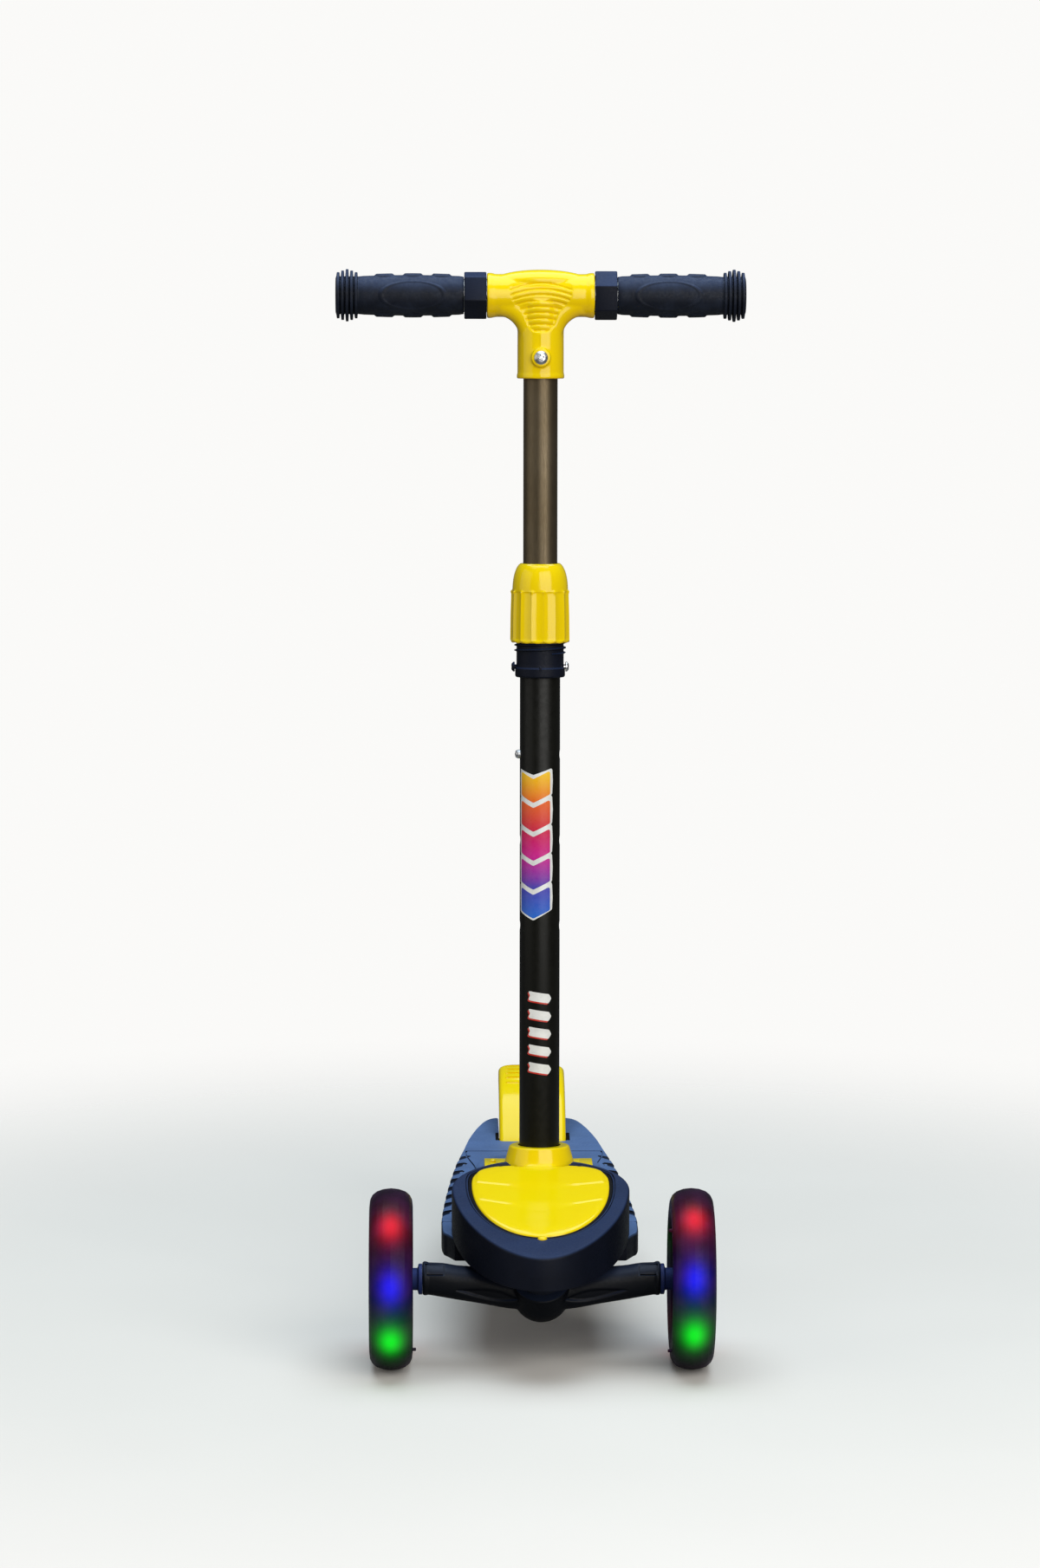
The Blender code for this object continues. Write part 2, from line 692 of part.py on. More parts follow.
def clamp_nut():
    """The fluted yellow nut, with a dome that closes on the upper tube."""
    count = NUT_FLUTES * 2

    def fluted(radius, depth):
        def radius_at(angle):
            return radius - depth * (1 - cos(angle * NUT_FLUTES)) / 2
        return radius_at

    def ring(radius, height, depth=0.0):
        return polar_ring(fluted(radius, depth), height, count)

    mouth = UPPER_TUBE_RADIUS + RUNNING_GAP
    wedge_seat = COLLAR_TOP + SEAT_GAP + WEDGE_HEIGHT
    rings = [
        ring(NUT_BORE_RADIUS, NUT_BOTTOM),
        ring(NUT_RADIUS - 0.0006, NUT_BOTTOM, NUT_FLUTE_DEPTH),
        ring(NUT_RADIUS, NUT_BOTTOM + 0.0010, NUT_FLUTE_DEPTH),
        ring(NUT_RADIUS - 0.0007, NUT_FLUTE_TOP - 0.0015, NUT_FLUTE_DEPTH),
        ring(NUT_RADIUS - 0.0015, NUT_FLUTE_TOP + 0.0006),
        ring(NUT_RADIUS - 0.0024, NUT_FLUTE_TOP + 0.0072),
        ring(NUT_RADIUS - 0.0044, NUT_FLUTE_TOP + 0.0134),
        ring(NUT_RADIUS - 0.0064, NUT_TOP - 0.0010),
        ring(NUT_RADIUS - 0.0076, NUT_TOP),
        ring(mouth, NUT_TOP),
        ring(mouth, wedge_seat + SEAT_GAP),
        ring(0.0150, wedge_seat + SEAT_GAP),
        ring(0.0166, COLLAR_TOP + 0.0016),
        ring(NUT_BORE_RADIUS, COLLAR_TOP - 0.0010),
    ]
    new_object("clamp_nut", stacked(rings, closed=True), YELLOW_PLASTIC, COLUMN)


def clamp_wedge():
    """The split ring inside the nut that the dome presses onto the upper tube."""
    low = COLLAR_TOP + SEAT_GAP
    high = low + WEDGE_HEIGHT
    bore = UPPER_TUBE_RADIUS + SEAT_GAP
    outline = [(bore, low), (0.0156, low), (0.0161, low + 0.0018), (0.0145, high), (bore, high)]
    item = new_object("clamp_wedge", turned(outline), NAVY_PLASTIC, COLUMN)
    cut(item, box((-0.0007, 0, low - 0.001), (0.0007, 0.03, high + 0.001)), COLUMN)


def clamp_collar():
    """The threaded sleeve on top of the lower tube, split at the front, with a flange below."""
    bore = LOWER_TUBE_RADIUS + SEAT_GAP
    lip_bore = UPPER_TUBE_RADIUS + SEAT_GAP
    lip = LOWER_TUBE_TOP + SEAT_GAP
    root = COLLAR_BODY_RADIUS + 0.0002
    outline = [
        (bore, COLLAR_BOTTOM),
        (COLLAR_FLANGE_RADIUS - 0.0007, COLLAR_BOTTOM),
        (COLLAR_FLANGE_RADIUS, COLLAR_BOTTOM + 0.0008),
        (COLLAR_FLANGE_RADIUS, COLLAR_FLANGE_TOP),
        (COLLAR_BODY_RADIUS, COLLAR_FLANGE_TOP + 0.0004),
        (COLLAR_BODY_RADIUS, THREAD_START - 0.0008),
    ]
    for i in range(THREAD_TURNS):
        low = THREAD_START + THREAD_PITCH * i
        outline += [(root, low), (THREAD_CREST_RADIUS, low + THREAD_PITCH / 2)]
    outline += [
        (root, THREAD_START + THREAD_PITCH * THREAD_TURNS),
        (root - 0.0006, COLLAR_TOP),
        (lip_bore, COLLAR_TOP),
        (lip_bore, lip),
        (bore, lip),
    ]
    item = new_object("clamp_collar", turned(outline), NAVY_PLASTIC, COLUMN)
    cut(item, box((-0.0005, -0.03, THREAD_START - 0.002), (0.0005, 0, COLLAR_TOP + 0.002)), COLUMN)
    for _, side in SIDES:
        hole = drill(0.0019, 0.005, 0.03, SMALL_STEPS)
        cut(item, hole, COLUMN, (0, 0, COLLAR_FLANGE_TOP), (0, side * pi / 2, 0))


def collar_screw(side_name, side):
    head = COLLAR_FLANGE_RADIUS + SEAT_GAP
    shank_tip = LOWER_TUBE_RADIUS - LOWER_TUBE_WALL + 0.0002
    outline = [
        (0, shank_tip),
        (0.0016, shank_tip),
        (0.0016, head),
        (0.0034, head),
        (0.0034, head + 0.0010),
        (0.0022, head + 0.0021),
        (0, head + 0.0023),
    ]
    finish = CHROME if side > 0 else NAVY_PLASTIC
    new_object(
        f"{side_name}_collar_screw",
        turned(outline, closed=False, steps=SMALL_STEPS),
        finish,
        COLUMN,
        (0, 0, COLLAR_FLANGE_TOP),
        (0, side * pi / 2, 0),
    )


def lower_tube():
    """The column's fixed tube, with three height holes on each side and a notch for the latch."""
    inner = LOWER_TUBE_RADIUS - LOWER_TUBE_WALL
    item = new_object(
        "lower_tube", tube(LOWER_TUBE_RADIUS, inner, LOWER_TUBE_FOOT, LOWER_TUBE_TOP), BLACK_TUBE, COLUMN
    )
    for i in range(HEIGHT_HOLES):
        hole = drill(SNAP_RADIUS + SEAT_GAP, -0.03, 0.03, SMALL_STEPS)
        cut(item, hole, COLUMN, (0, 0, HEIGHT_HOLE_TOP - HEIGHT_HOLE_PITCH * i), (0, pi / 2, 0))
    screw_hole = drill(0.0019, -0.03, 0.03, SMALL_STEPS)
    cut(item, screw_hole, COLUMN, (0, 0, COLLAR_FLANGE_TOP), (0, pi / 2, 0))
    cut(item, tooth_space(), FLOOR)


def column_socket():
    """The sleeve in the deck that the lower tube stands in."""
    bore = LOWER_TUBE_RADIUS + SEAT_GAP
    low = LOWER_TUBE_FOOT
    outline = [
        (bore, low),
        (SOCKET_RADIUS, low),
        (SOCKET_RADIUS, SOCKET_TOP - 0.0008),
        (SOCKET_RADIUS - 0.0008, SOCKET_TOP),
        (bore, SOCKET_TOP),
    ]
    item = new_object("column_socket", turned(outline), ZINC_STEEL, COLUMN)
    cut(item, tooth_space(), FLOOR)


def tooth_space():
    """The passage that the latch's tooth slides in, from the tube's rear wall backwards."""
    side = TOOTH_HALF_WIDTH + SEAT_GAP
    start = COLUMN_Y + 0.004
    end = LATCH_FRONT_Y + LATCH_LENGTH + LATCH_TRAVEL + 0.002
    return box((-side, start, TOOTH_BOTTOM - SEAT_GAP), (side, end, HUMP_TOP - LATCH_THICKNESS - 0.0005))


def column_latch():
    """The yellow plate behind the column: pulled back, its tooth leaves the tube."""
    low = HUMP_TOP - LATCH_THICKNESS - 0.0004
    high = HUMP_TOP - 0.0004
    corner = 0.004
    half = LATCH_HALF_WIDTH
    back = LATCH_FRONT_Y + LATCH_LENGTH
    outline = [
        *arc((half - corner, LATCH_FRONT_Y + corner), corner, -pi / 2, 0, 4),
        *arc((half - corner, back - corner), corner, 0, pi / 2, 4),
        *arc((corner - half, back - corner), corner, pi / 2, pi, 4),
        *arc((corner - half, LATCH_FRONT_Y + corner), corner, pi, 3 * pi / 2, 4),
    ]
    item = new_object("column_latch", prism(outline, low, high), YELLOW_PLASTIC, FLOOR)
    tooth_tip = COLUMN_Y + LOWER_TUBE_RADIUS - LOWER_TUBE_WALL + 0.0002
    tooth_back = LATCH_FRONT_Y + 0.010
    tooth = box((-TOOTH_HALF_WIDTH, tooth_tip, TOOTH_BOTTOM), (TOOTH_HALF_WIDTH, tooth_back, low - 0.0008))
    join(item, tooth, FLOOR)
    neck_start = (-TOOTH_HALF_WIDTH, LATCH_FRONT_Y + 0.001, TOOTH_BOTTOM + 0.002)
    join(item, box(neck_start, (TOOTH_HALF_WIDTH, tooth_back, low + 0.001)), FLOOR)
    ridge = box((-0.012, back - 0.006, high - 0.001), (0.012, back - 0.003, high + 0.0025))
    join(item, ridge, FLOOR)
    nub = turned([(0, 0), (0.0021, 0), (0.0021, 0.0035), (0, 0.0045)], closed=False, steps=SMALL_STEPS)
    join(item, nub, FLOOR, (-half + 0.004, LATCH_FRONT_Y + LATCH_LENGTH / 2, high - 0.001))


def latch_spring():
    """The small spring behind the latch's tooth, in its passage."""
    start = LATCH_FRONT_Y + 0.010 + SEAT_GAP
    end = LATCH_FRONT_Y + LATCH_LENGTH + LATCH_TRAVEL + 0.002 - SEAT_GAP
    height = TOOTH_BOTTOM + 0.0023
    path = coil(0.0017, LATCH_SPRING_WIRE, end - start - LATCH_SPRING_WIRE, 0, 2 * pi * LATCH_SPRING_TURNS)
    shape = wire(path, LATCH_SPRING_WIRE)
    new_object("latch_spring", shape, SPRING_STEEL, FLOOR, (0, start, height), (-pi / 2, 0, 0))


# Nose

def front_cover():
    """The cone round the column and, in front of it, the yellow shield in the nose."""
    cone = turned(
        [
            (0, -0.006),
            (CONE_BASE_RADIUS + 0.0022, -0.006),
            (CONE_BASE_RADIUS, 0.004),
            (CONE_RIM_RADIUS + 0.0006, CONE_RIM - 0.0010),
            (CONE_RIM_RADIUS - 0.0004, CONE_RIM),
            (0, CONE_RIM),
        ],
        closed=False,
        steps=24,
    )
    item = new_object("front_cover", cone, YELLOW_PLASTIC, COLUMN)
    cone_front = COLUMN_Y - CONE_BASE_RADIUS - 0.008
    middle = COVER_THICKNESS / 2
    below = [
        (cone_front, 0.05),
        (0.13, 0.05),
        (0.13, HUMP_TOP + SEAT_GAP),
        (SHIELD_REAR_Y, HUMP_TOP + SEAT_GAP),
        (SHIELD_REAR_Y, nose_face(SHIELD_REAR_Y) - middle),
        (cone_front, nose_face(cone_front) - middle),
    ]
    cut(item, prism(below, -0.05, 0.05, across="X"), FLOOR)
    rings = [
        on_face(cover_outline(0.0), COVER_THICKNESS),
        on_face(cover_outline(0.0), 0.0004),
        on_face(cover_outline(0.0012), -0.0006),
        on_face(cover_outline(0.0120), -0.0012),
    ]
    join(item, stacked(rings), FLOOR)
    tab_y = COVER_CENTRE_Y - COVER_FRONT
    tab_top = nose_face(tab_y) - 0.0004
    tab = box((-0.0028, tab_y - 0.0006, tab_top - 0.0018), (0.0028, tab_y + 0.003, tab_top))
    join(item, tab, FLOOR)
    cut(item, drill(SOCKET_RADIUS + RUNNING_GAP, -0.02, SOCKET_TOP + RUNNING_GAP), COLUMN)
    cut(item, drill(CONE_HOLE_RADIUS, -0.03, 0.05), COLUMN)


def nose_bezel():
    """The dark drum-shaped housing: a sloping face with an opening for the cover, and a skirt."""
    def lower_edge(outline):
        points = []
        for x, y in outline:
            rear = y > COLUMN_Y - CONE_BASE_RADIUS - 0.008
            points.append((x, y, nose_face(y) - 0.006 if rear else skirt_bottom(y)))
        return points

    rings = [
        lower_edge(nose_outline()),
        on_face(nose_outline(), 0.0040),
        on_face(nose_outline(0.0012), 0.0013),
        on_face(nose_outline(0.0042), 0.0),
        on_face(cover_outline(-COVER_GROOVE), 0.0003),
        on_face(cover_outline(-COVER_GROOVE), BEZEL_WALL),
        on_face(nose_outline(BEZEL_WALL), BEZEL_WALL),
        lower_edge(nose_outline(BEZEL_WALL)),
    ]
    item = new_object("nose_bezel", stacked(rings, closed=True), NAVY_PLASTIC, FLOOR)
    cut(item, drill(CONE_BASE_RADIUS + 0.0030, -0.04, 0.06, 24), COLUMN)


# Deck

def deck_outline():
    """Half of the deck's outline, mirrored, with the slot for the rear wheel, anticlockwise."""
    rail = SLOT_HALF_WIDTH + TAIL_RAIL_WIDTH
    widest_y = DECK_FRONT_Y + 0.055
    front = ((0.0, 0.515), (0.2, 0.818), (0.51, 0.970), (1.0, 1.0))
    # Shares of the way from the widest place to the tail, and of the width beyond the rails.
    side = (
        (0.157, 0.939),
        (0.358, 0.818),
        (0.549, 0.661),
        (0.688, 0.506),
        (0.790, 0.394),
        (0.886, 0.242),
        (0.941, 0.127),
        (0.972, 0.048),
        (0.994, 0.0),
    )
    spread = DECK_HALF_WIDTH - rail
    points = [(rail + spread * width, DECK_FRONT_Y + (widest_y - DECK_FRONT_Y) * way) for way, width in front]
    points += [(rail + spread * width, widest_y + (DECK_TAIL_Y - widest_y) * way) for way, width in side]
    edge = smooth_through([*points, (rail - 0.0025, DECK_TAIL_Y)], 2)
    tail = [(SLOT_HALF_WIDTH + 0.0018, DECK_TAIL_Y - 0.0006), (SLOT_HALF_WIDTH, DECK_TAIL_Y - 0.0028)]
    slot_corner = arc((SLOT_HALF_WIDTH - 0.004, SLOT_FRONT_Y + 0.004), 0.004, 0, -pi / 2, 3)
    half = [*edge, *tail, *slot_corner]
    return [*half, *[(-x, y) for x, y in reversed(half)]]


def hump_ring(margin, height, count=24):
    reach = HUMP_HALF_LENGTH - margin
    outline = oval(HUMP_HALF_WIDTH - margin, HUMP_CENTRE_Y, reach, reach, 3.0, 3.0, count)
    return [(x, y, height) for x, y in outline]


def deck():
    """The moulded deck: the core inside the nose, the board, the hump behind the column and the rear fork."""
    margin = BEZEL_WALL + 0.0006
    top = BEZEL_WALL + SEAT_GAP
    shell = [(x, y, DECK_BOTTOM - 0.006) for x, y in nose_outline(margin)]
    core = stacked([shell, on_face(nose_outline(margin), top - 0.002)])
    item = new_object("deck", core, NAVY_PLASTIC, FLOOR)
    front = NOSE_CENTRE_Y - NOSE_FRONT
    curve = [front - 0.01 + (DECK_FRONT_Y - front + 0.01) * i / 8 for i in range(9)]
    skirt = [(y, skirt_bottom(max(y, front)) + 0.0015) for y in curve]
    shelf = DECK_BOTTOM + 0.006
    behind = NOSE_CENTRE_Y + NOSE_REAR + 0.01
    under = DECK_BOTTOM - 0.03
    below = [(front - 0.01, under), *skirt, (DECK_FRONT_Y, shelf), (behind, shelf), (behind, under)]
    cut(item, prism(below, -0.08, 0.08, across="X"), FLOOR)
    outline = deck_outline()
    levels = (
        (DECK_EDGE, DECK_BOTTOM),
        (0.0, DECK_BOTTOM + DECK_EDGE),
        (0.0, DECK_TOP - DECK_EDGE),
        (0.0005, DECK_TOP - 0.0005),
        (DECK_EDGE, DECK_TOP),
    )
    board = stacked([[(x, y, height) for x, y in inset(outline, inwards)] for inwards, height in levels])
    join(item, board, FLOOR)
    deck_nose_core(item, margin, top)
    deck_hump(item)
    deck_pockets(item)
    deck_fork(item)
    deck_column_seat(item)
    deck_latch_seat(item)


def deck_nose_core(item, margin, top):
    """The hollow of the core, the steering boss and the two spring posts."""
    wall = 0.003
    back = DECK_FRONT_Y + 0.0096
    inner = [(x, y) for x, y in nose_outline(margin + wall) if y < back]
    hollow = stacked([[(x, y, DECK_BOTTOM - 0.026) for x, y in inner], on_face(inner, top + wall)])
    cut(item, hollow, FLOOR)
    low = HUB_TOP + PIVOT_WASHER_THICKNESS + 2 * SEAT_GAP
    high = low + PIVOT_BOSS_LENGTH
    join(item, rod(PIVOT_BOSS_RADIUS, low, 0.052), PIVOT)
    for _, side in SIDES:
        circle = [
            (side * STEER_SPRING_X + x, STEER_SPRING_Y + y)
            for x, y, _ in polar_ring(lambda a: SPRING_POST_RADIUS, 0, SMALL_STEPS)
        ]
        post = stacked([[(x, y, SPRING_POST_BOTTOM) for x, y in circle], on_face(circle, top + wall / 2)])
        join(item, post, FLOOR)
    ahead, behind = NOSE_CENTRE_Y - NOSE_FRONT - 0.04, HUMP_CENTRE_Y
    shield_back = SHIELD_REAR_Y - SEAT_GAP
    face = [(y, nose_face(y) - top) for y in (ahead, shield_back)]
    ledge = [(y, HUMP_TOP - 0.0008) for y in (shield_back, behind)]
    above = [*face, *ledge, (behind, HUMP_TOP + 0.09), (ahead, HUMP_TOP + 0.09)]
    cut(item, prism(above, -0.08, 0.08, across="X"), FLOOR)
    bore = PIVOT_BOLT_RADIUS + SEAT_GAP
    nut_room = AXLE_NUT_RADIUS + 0.0026
    steps = [(0, low - 0.01), (bore, low - 0.01), (bore, high), (nut_room, high), (nut_room, 0.075), (0, 0.075)]
    stepped = turned(steps, closed=False, steps=SMALL_STEPS)
    stepped.transform(Matrix.Rotation(0.05, 4, "Z"))
    cut(item, stepped, PIVOT)


def deck_hump(item):
    rings = [
        hump_ring(-0.002, DECK_BOTTOM + 0.008),
        hump_ring(-0.001, DECK_TOP + 0.001),
        hump_ring(0.0020, 0.100),
        hump_ring(0.0030, HUMP_TOP - 0.0025),
        hump_ring(0.0055, HUMP_TOP),
    ]
    join(item, stacked(rings), FLOOR)
    wall = 0.004
    inside = [hump_ring(wall, DECK_BOTTOM - 0.005), hump_ring(wall + 0.003, HUMP_TOP - 0.0125)]
    cut(item, stacked(inside), FLOOR)


def deck_pockets(item):
    """The hollows under the board, with ribs left between them, and the low step of the tail."""
    roof = DECK_TOP - DECK_WALL
    first = HUMP_CENTRE_Y + HUMP_HALF_LENGTH + 2 * POCKET_RIB
    length = (TAIL_STEP_Y + POCKET_RIB - first + POCKET_RIB) / POCKET_ROWS - POCKET_RIB
    for row in range(POCKET_ROWS):
        start = first + (length + POCKET_RIB) * row
        end = start + length
        half = deck_half_width(end) - DECK_WALL
        for _, side in SIDES:
            ends = sorted((side * 0.0015, side * half))
            cut(item, box((ends[0], start, DECK_BOTTOM - 0.01), (ends[1], end, roof)), FLOOR)
    beyond = DECK_TAIL_Y + 0.02
    step = box((-0.07, TAIL_STEP_Y, DECK_TOP - TAIL_STEP_DEPTH), (0.07, beyond, DECK_TOP + 0.01))
    cut(item, step, FLOOR)


def deck_fork(item):
    """The two plates that hold the rear axle, and the blind holes of the brake pin."""
    root = DECK_BOTTOM + 0.006
    lower_arc = arc((WHEELBASE, REAR_WHEEL_RADIUS), FORK_BOSS_RADIUS, radians(166), radians(380), 12)
    outline = [*lower_arc, (WHEELBASE + 0.016, root), (WHEELBASE - 0.034, root)]
    for _, side in SIDES:
        ends = sorted((side * (SLOT_HALF_WIDTH + 0.0002), side * (SLOT_HALF_WIDTH + FORK_THICKNESS)))
        join(item, prism(outline, *ends, across="X"), FLOOR)
    axle_hole = drill(AXLE_RADIUS + SEAT_GAP, -0.05, 0.05, SMALL_STEPS)
    cut(item, axle_hole, FLOOR, (0, WHEELBASE, REAR_WHEEL_RADIUS), (0, pi / 2, 0))
    blind_end = SLOT_HALF_WIDTH + BRAKE_PIN_SEAT + SEAT_GAP
    cut(item, drill(BRAKE_PIN_RADIUS + SEAT_GAP, -blind_end, blind_end, SMALL_STEPS), BRAKE)


def deck_column_seat(item):
    join(item, rod(COLUMN_BOSS_RADIUS, LOWER_TUBE_FOOT - 0.002, -0.004), COLUMN)
    floor = box((-0.022, COLUMN_Y - 0.026, DECK_BOTTOM), (0.022, COLUMN_Y + 0.022, DECK_BOTTOM + 0.0035))
    join(item, floor, FLOOR)
    cut(item, drill(SOCKET_RADIUS + SEAT_GAP, LOWER_TUBE_FOOT - SEAT_GAP, 0.05), COLUMN)


def deck_latch_seat(item):
    side = LATCH_HALF_WIDTH + 0.0008
    back = LATCH_FRONT_Y + LATCH_LENGTH + LATCH_TRAVEL + 0.0006
    low = HUMP_TOP - LATCH_THICKNESS - 0.0007
    cut(item, box((-side, LATCH_FRONT_Y - 0.0006, low), (side, back, HUMP_TOP + 0.01)), FLOOR)
    cut(item, tooth_space(), FLOOR)


# Steering beam and what turns on it

def front_truck():
    """The beam across the front wheels: two arms of oval section and a hub round the steering axis."""
    # Shares of the way out, of the drop below the axle, and of the end's radius in height and depth.
    sections = (
        (1.0, -0.064, 1.0, 1.0),
        (0.838, 0.055, 1.083, 1.054),
        (0.711, 0.209, 1.093, 1.073),
        (0.508, 0.518, 1.015, 1.093),
        (0.254, 0.891, 0.956, 1.171),
        (0.0, 1.0, 0.878, 1.171),
    )
    whole = [*[(-out, *rest) for out, *rest in sections[:-1]], *reversed(sections)]
    rings = []
    for out, drop, height, depth in whole:
        middle = WHEEL_RADIUS - BEAM_DROP * drop
        circle = polar_ring(lambda a: BEAM_END_RADIUS, 0, 12)
        rings.append([(BEAM_END_X * out, depth * across, middle + height * up) for across, up, _ in circle])
    item = new_object("front_truck", stacked(rings), NAVY_PLASTIC, FLOOR)
    bowl = [(HUB_RADIUS * sin(pi / 2 * i / 4), -HUB_RADIUS * cos(pi / 2 * i / 4)) for i in range(5)]
    rim = [(HUB_RADIUS, HUB_TOP - 0.001), (HUB_RADIUS - 0.001, HUB_TOP)]
    join(item, turned([*bowl, *rim, (0, HUB_TOP)], closed=False), PIVOT)
    for _, side in SIDES:
        pad = rod(0.0072, 0.052, SPRING_PAD_TOP, SMALL_STEPS)
        join(item, pad, FLOOR, (side * STEER_SPRING_X, STEER_SPRING_Y, 0))
        bore = drill(AXLE_RADIUS + SEAT_GAP, 0.0640, 0.1, SMALL_STEPS)
        cut(item, bore, FLOOR, (0, 0, WHEEL_RADIUS), (0, side * pi / 2, 0))
    cut(item, drill(PIVOT_BUSH_RADIUS + SEAT_GAP, PIVOT_HEAD_FACE - 0.001, 0.03, SMALL_STEPS), PIVOT)
    cut(item, drill(PIVOT_HEAD_RADIUS + 0.001, -0.03, PIVOT_HEAD_FACE - SEAT_GAP, SMALL_STEPS), PIVOT)


def pivot_parts():
    """The bolt, bush, washer and nut that the steering beam turns on."""
    washer_low = HUB_TOP + SEAT_GAP
    washer_high = washer_low + PIVOT_WASHER_THICKNESS
    boss_high = washer_high + SEAT_GAP + PIVOT_BOSS_LENGTH
    head_high = PIVOT_HEAD_FACE - 2 * SEAT_GAP
    head_low = head_high - 0.0047
    head = [
        (0, head_low),
        (PIVOT_HEAD_RADIUS - 0.0007, head_low),
        (PIVOT_HEAD_RADIUS, head_low + 0.0007),
        (PIVOT_HEAD_RADIUS, head_high),
        (0, head_high),
    ]
    bolt = new_object("pivot_bolt", turned(head, closed=False, steps=6), ZINC_STEEL, PIVOT)
    join(bolt, rod(PIVOT_BOLT_RADIUS, head_high - 0.002, boss_high + 0.0085, SMALL_STEPS), PIVOT)
    bush = tube(PIVOT_BUSH_RADIUS, PIVOT_BOLT_RADIUS + SEAT_GAP, PIVOT_HEAD_FACE, HUB_TOP, SMALL_STEPS)
    new_object("pivot_bush", bush, CORE_PLASTIC, PIVOT)
    washer = tube(0.0125, PIVOT_BOLT_RADIUS + SEAT_GAP, washer_low, washer_high, SMALL_STEPS)
    new_object("pivot_washer", washer, ZINC_STEEL, PIVOT)
    six_sided = rod(AXLE_NUT_RADIUS, boss_high + SEAT_GAP, boss_high + 0.0068, 6)
    nut = new_object("pivot_nut", six_sided, ZINC_STEEL, PIVOT)
    cut(nut, drill(PIVOT_BOLT_RADIUS + SEAT_GAP, 0, 0.1, SMALL_STEPS), PIVOT)


def steering_spring(side_name, side):
    low = SPRING_PAD_TOP + SEAT_GAP + STEER_SPRING_WIRE
    high = SPRING_POST_BOTTOM - SEAT_GAP - STEER_SPRING_WIRE
    path = coil(STEER_SPRING_RADIUS, low, high, 0, 2 * pi * STEER_SPRING_TURNS)
    shape = wire(path, STEER_SPRING_WIRE)
    new_object(
        f"{side_name}_steering_spring", shape, SPRING_STEEL, FLOOR, (side * STEER_SPRING_X, STEER_SPRING_Y, 0)
    )


def tyre_outline(radius, bore, half):
    """A ring of rounded section, fuller than a half circle at the tread."""
    crown = [
        (radius * 0.83, 1.0),
        (radius * 0.92, 0.87),
        (radius * 0.982, 0.50),
    ]
    lower = [(bore, -half * 0.72), (bore + (radius - bore) * 0.28, -half * 0.93)]
    lower += [(r, -half * width) for r, width in crown]
    upper = [(r, -z) for r, z in reversed(lower)]
    return [*lower, (radius, 0), *upper]


def wheel_core_outline(rim, rim_half, web_half, hub_half):
    """Rim, web and hub in section, with a seat for a bearing on each side."""
    seat = BEARING_RADIUS + SEAT_GAP / 2
    shoulder = hub_half - BEARING_WIDTH - 0.0001
    hub = BEARING_RADIUS + 0.0027
    lower = [
        (rim, -rim_half),
        (rim - 0.0065, -web_half),
        (hub + 0.0014, -web_half),
        (hub, -hub_half),
        (seat, -hub_half),
        (seat, -shoulder),
        (0.0080, -shoulder),
    ]
    return [*lower, *[(r, -z) for r, z in reversed(lower)]]


def bearing_outline(outer_face):
    """A sealed ball bearing in section, its outer face at the given height."""
    ring = BEARING_RADIUS - SEAT_GAP / 2
    inner_face = outer_face - BEARING_WIDTH
    bore = BEARING_BORE_RADIUS
    return [(bore, inner_face), (ring, inner_face), (ring, outer_face), (bore, outer_face)]


def front_wheel(side_name, side):
    """Local Z of these pieces points outwards, along the axle."""
    place = (side * WHEEL_CENTRE_X, 0, WHEEL_RADIUS)
    turn = (0, side * pi / 2, 0)
    tyre = turned(tyre_outline(WHEEL_RADIUS, TYRE_BORE_RADIUS, WHEEL_HALF_WIDTH), steps=WHEEL_STEPS)
    new_object(f"{side_name}_front_tyre", tyre, SMOKY_TYRE, FLOOR, place, turn)
    rim = TYRE_BORE_RADIUS - SEAT_GAP
    core = turned(wheel_core_outline(rim, 0.0098, 0.0036, CORE_HUB_HALF), steps=WHEEL_STEPS)
    new_object(f"{side_name}_front_wheel_core", core, CORE_PLASTIC, FLOOR, place, turn)
    ring_low = -0.0036 - SEAT_GAP
    lamp = tube(rim - 0.0068, BEARING_RADIUS + 0.0055, ring_low - 0.0050, ring_low, WHEEL_STEPS)
    new_object(f"{side_name}_light_ring", lamp, LIGHT_RING, FLOOR, place, turn)
    for which, face, flip in (("outer", CORE_HUB_HALF, 1), ("inner", CORE_HUB_HALF, -1)):
        bearing = turned(bearing_outline(face), steps=SMALL_STEPS)
        bearing.transform(Matrix.Rotation(0 if flip > 0 else pi, 4, "X"))
        new_object(f"{side_name}_{which}_bearing", bearing, ZINC_STEEL, FLOOR, place, turn)


def axle_head(face):
    return [
        (AXLE_HEAD_RADIUS, face),
        (AXLE_HEAD_RADIUS, face + AXLE_HEAD_HEIGHT - 0.0012),
        (AXLE_HEAD_RADIUS - 0.0018, face + AXLE_HEAD_HEIGHT),
        (0, face + AXLE_HEAD_HEIGHT),
    ]


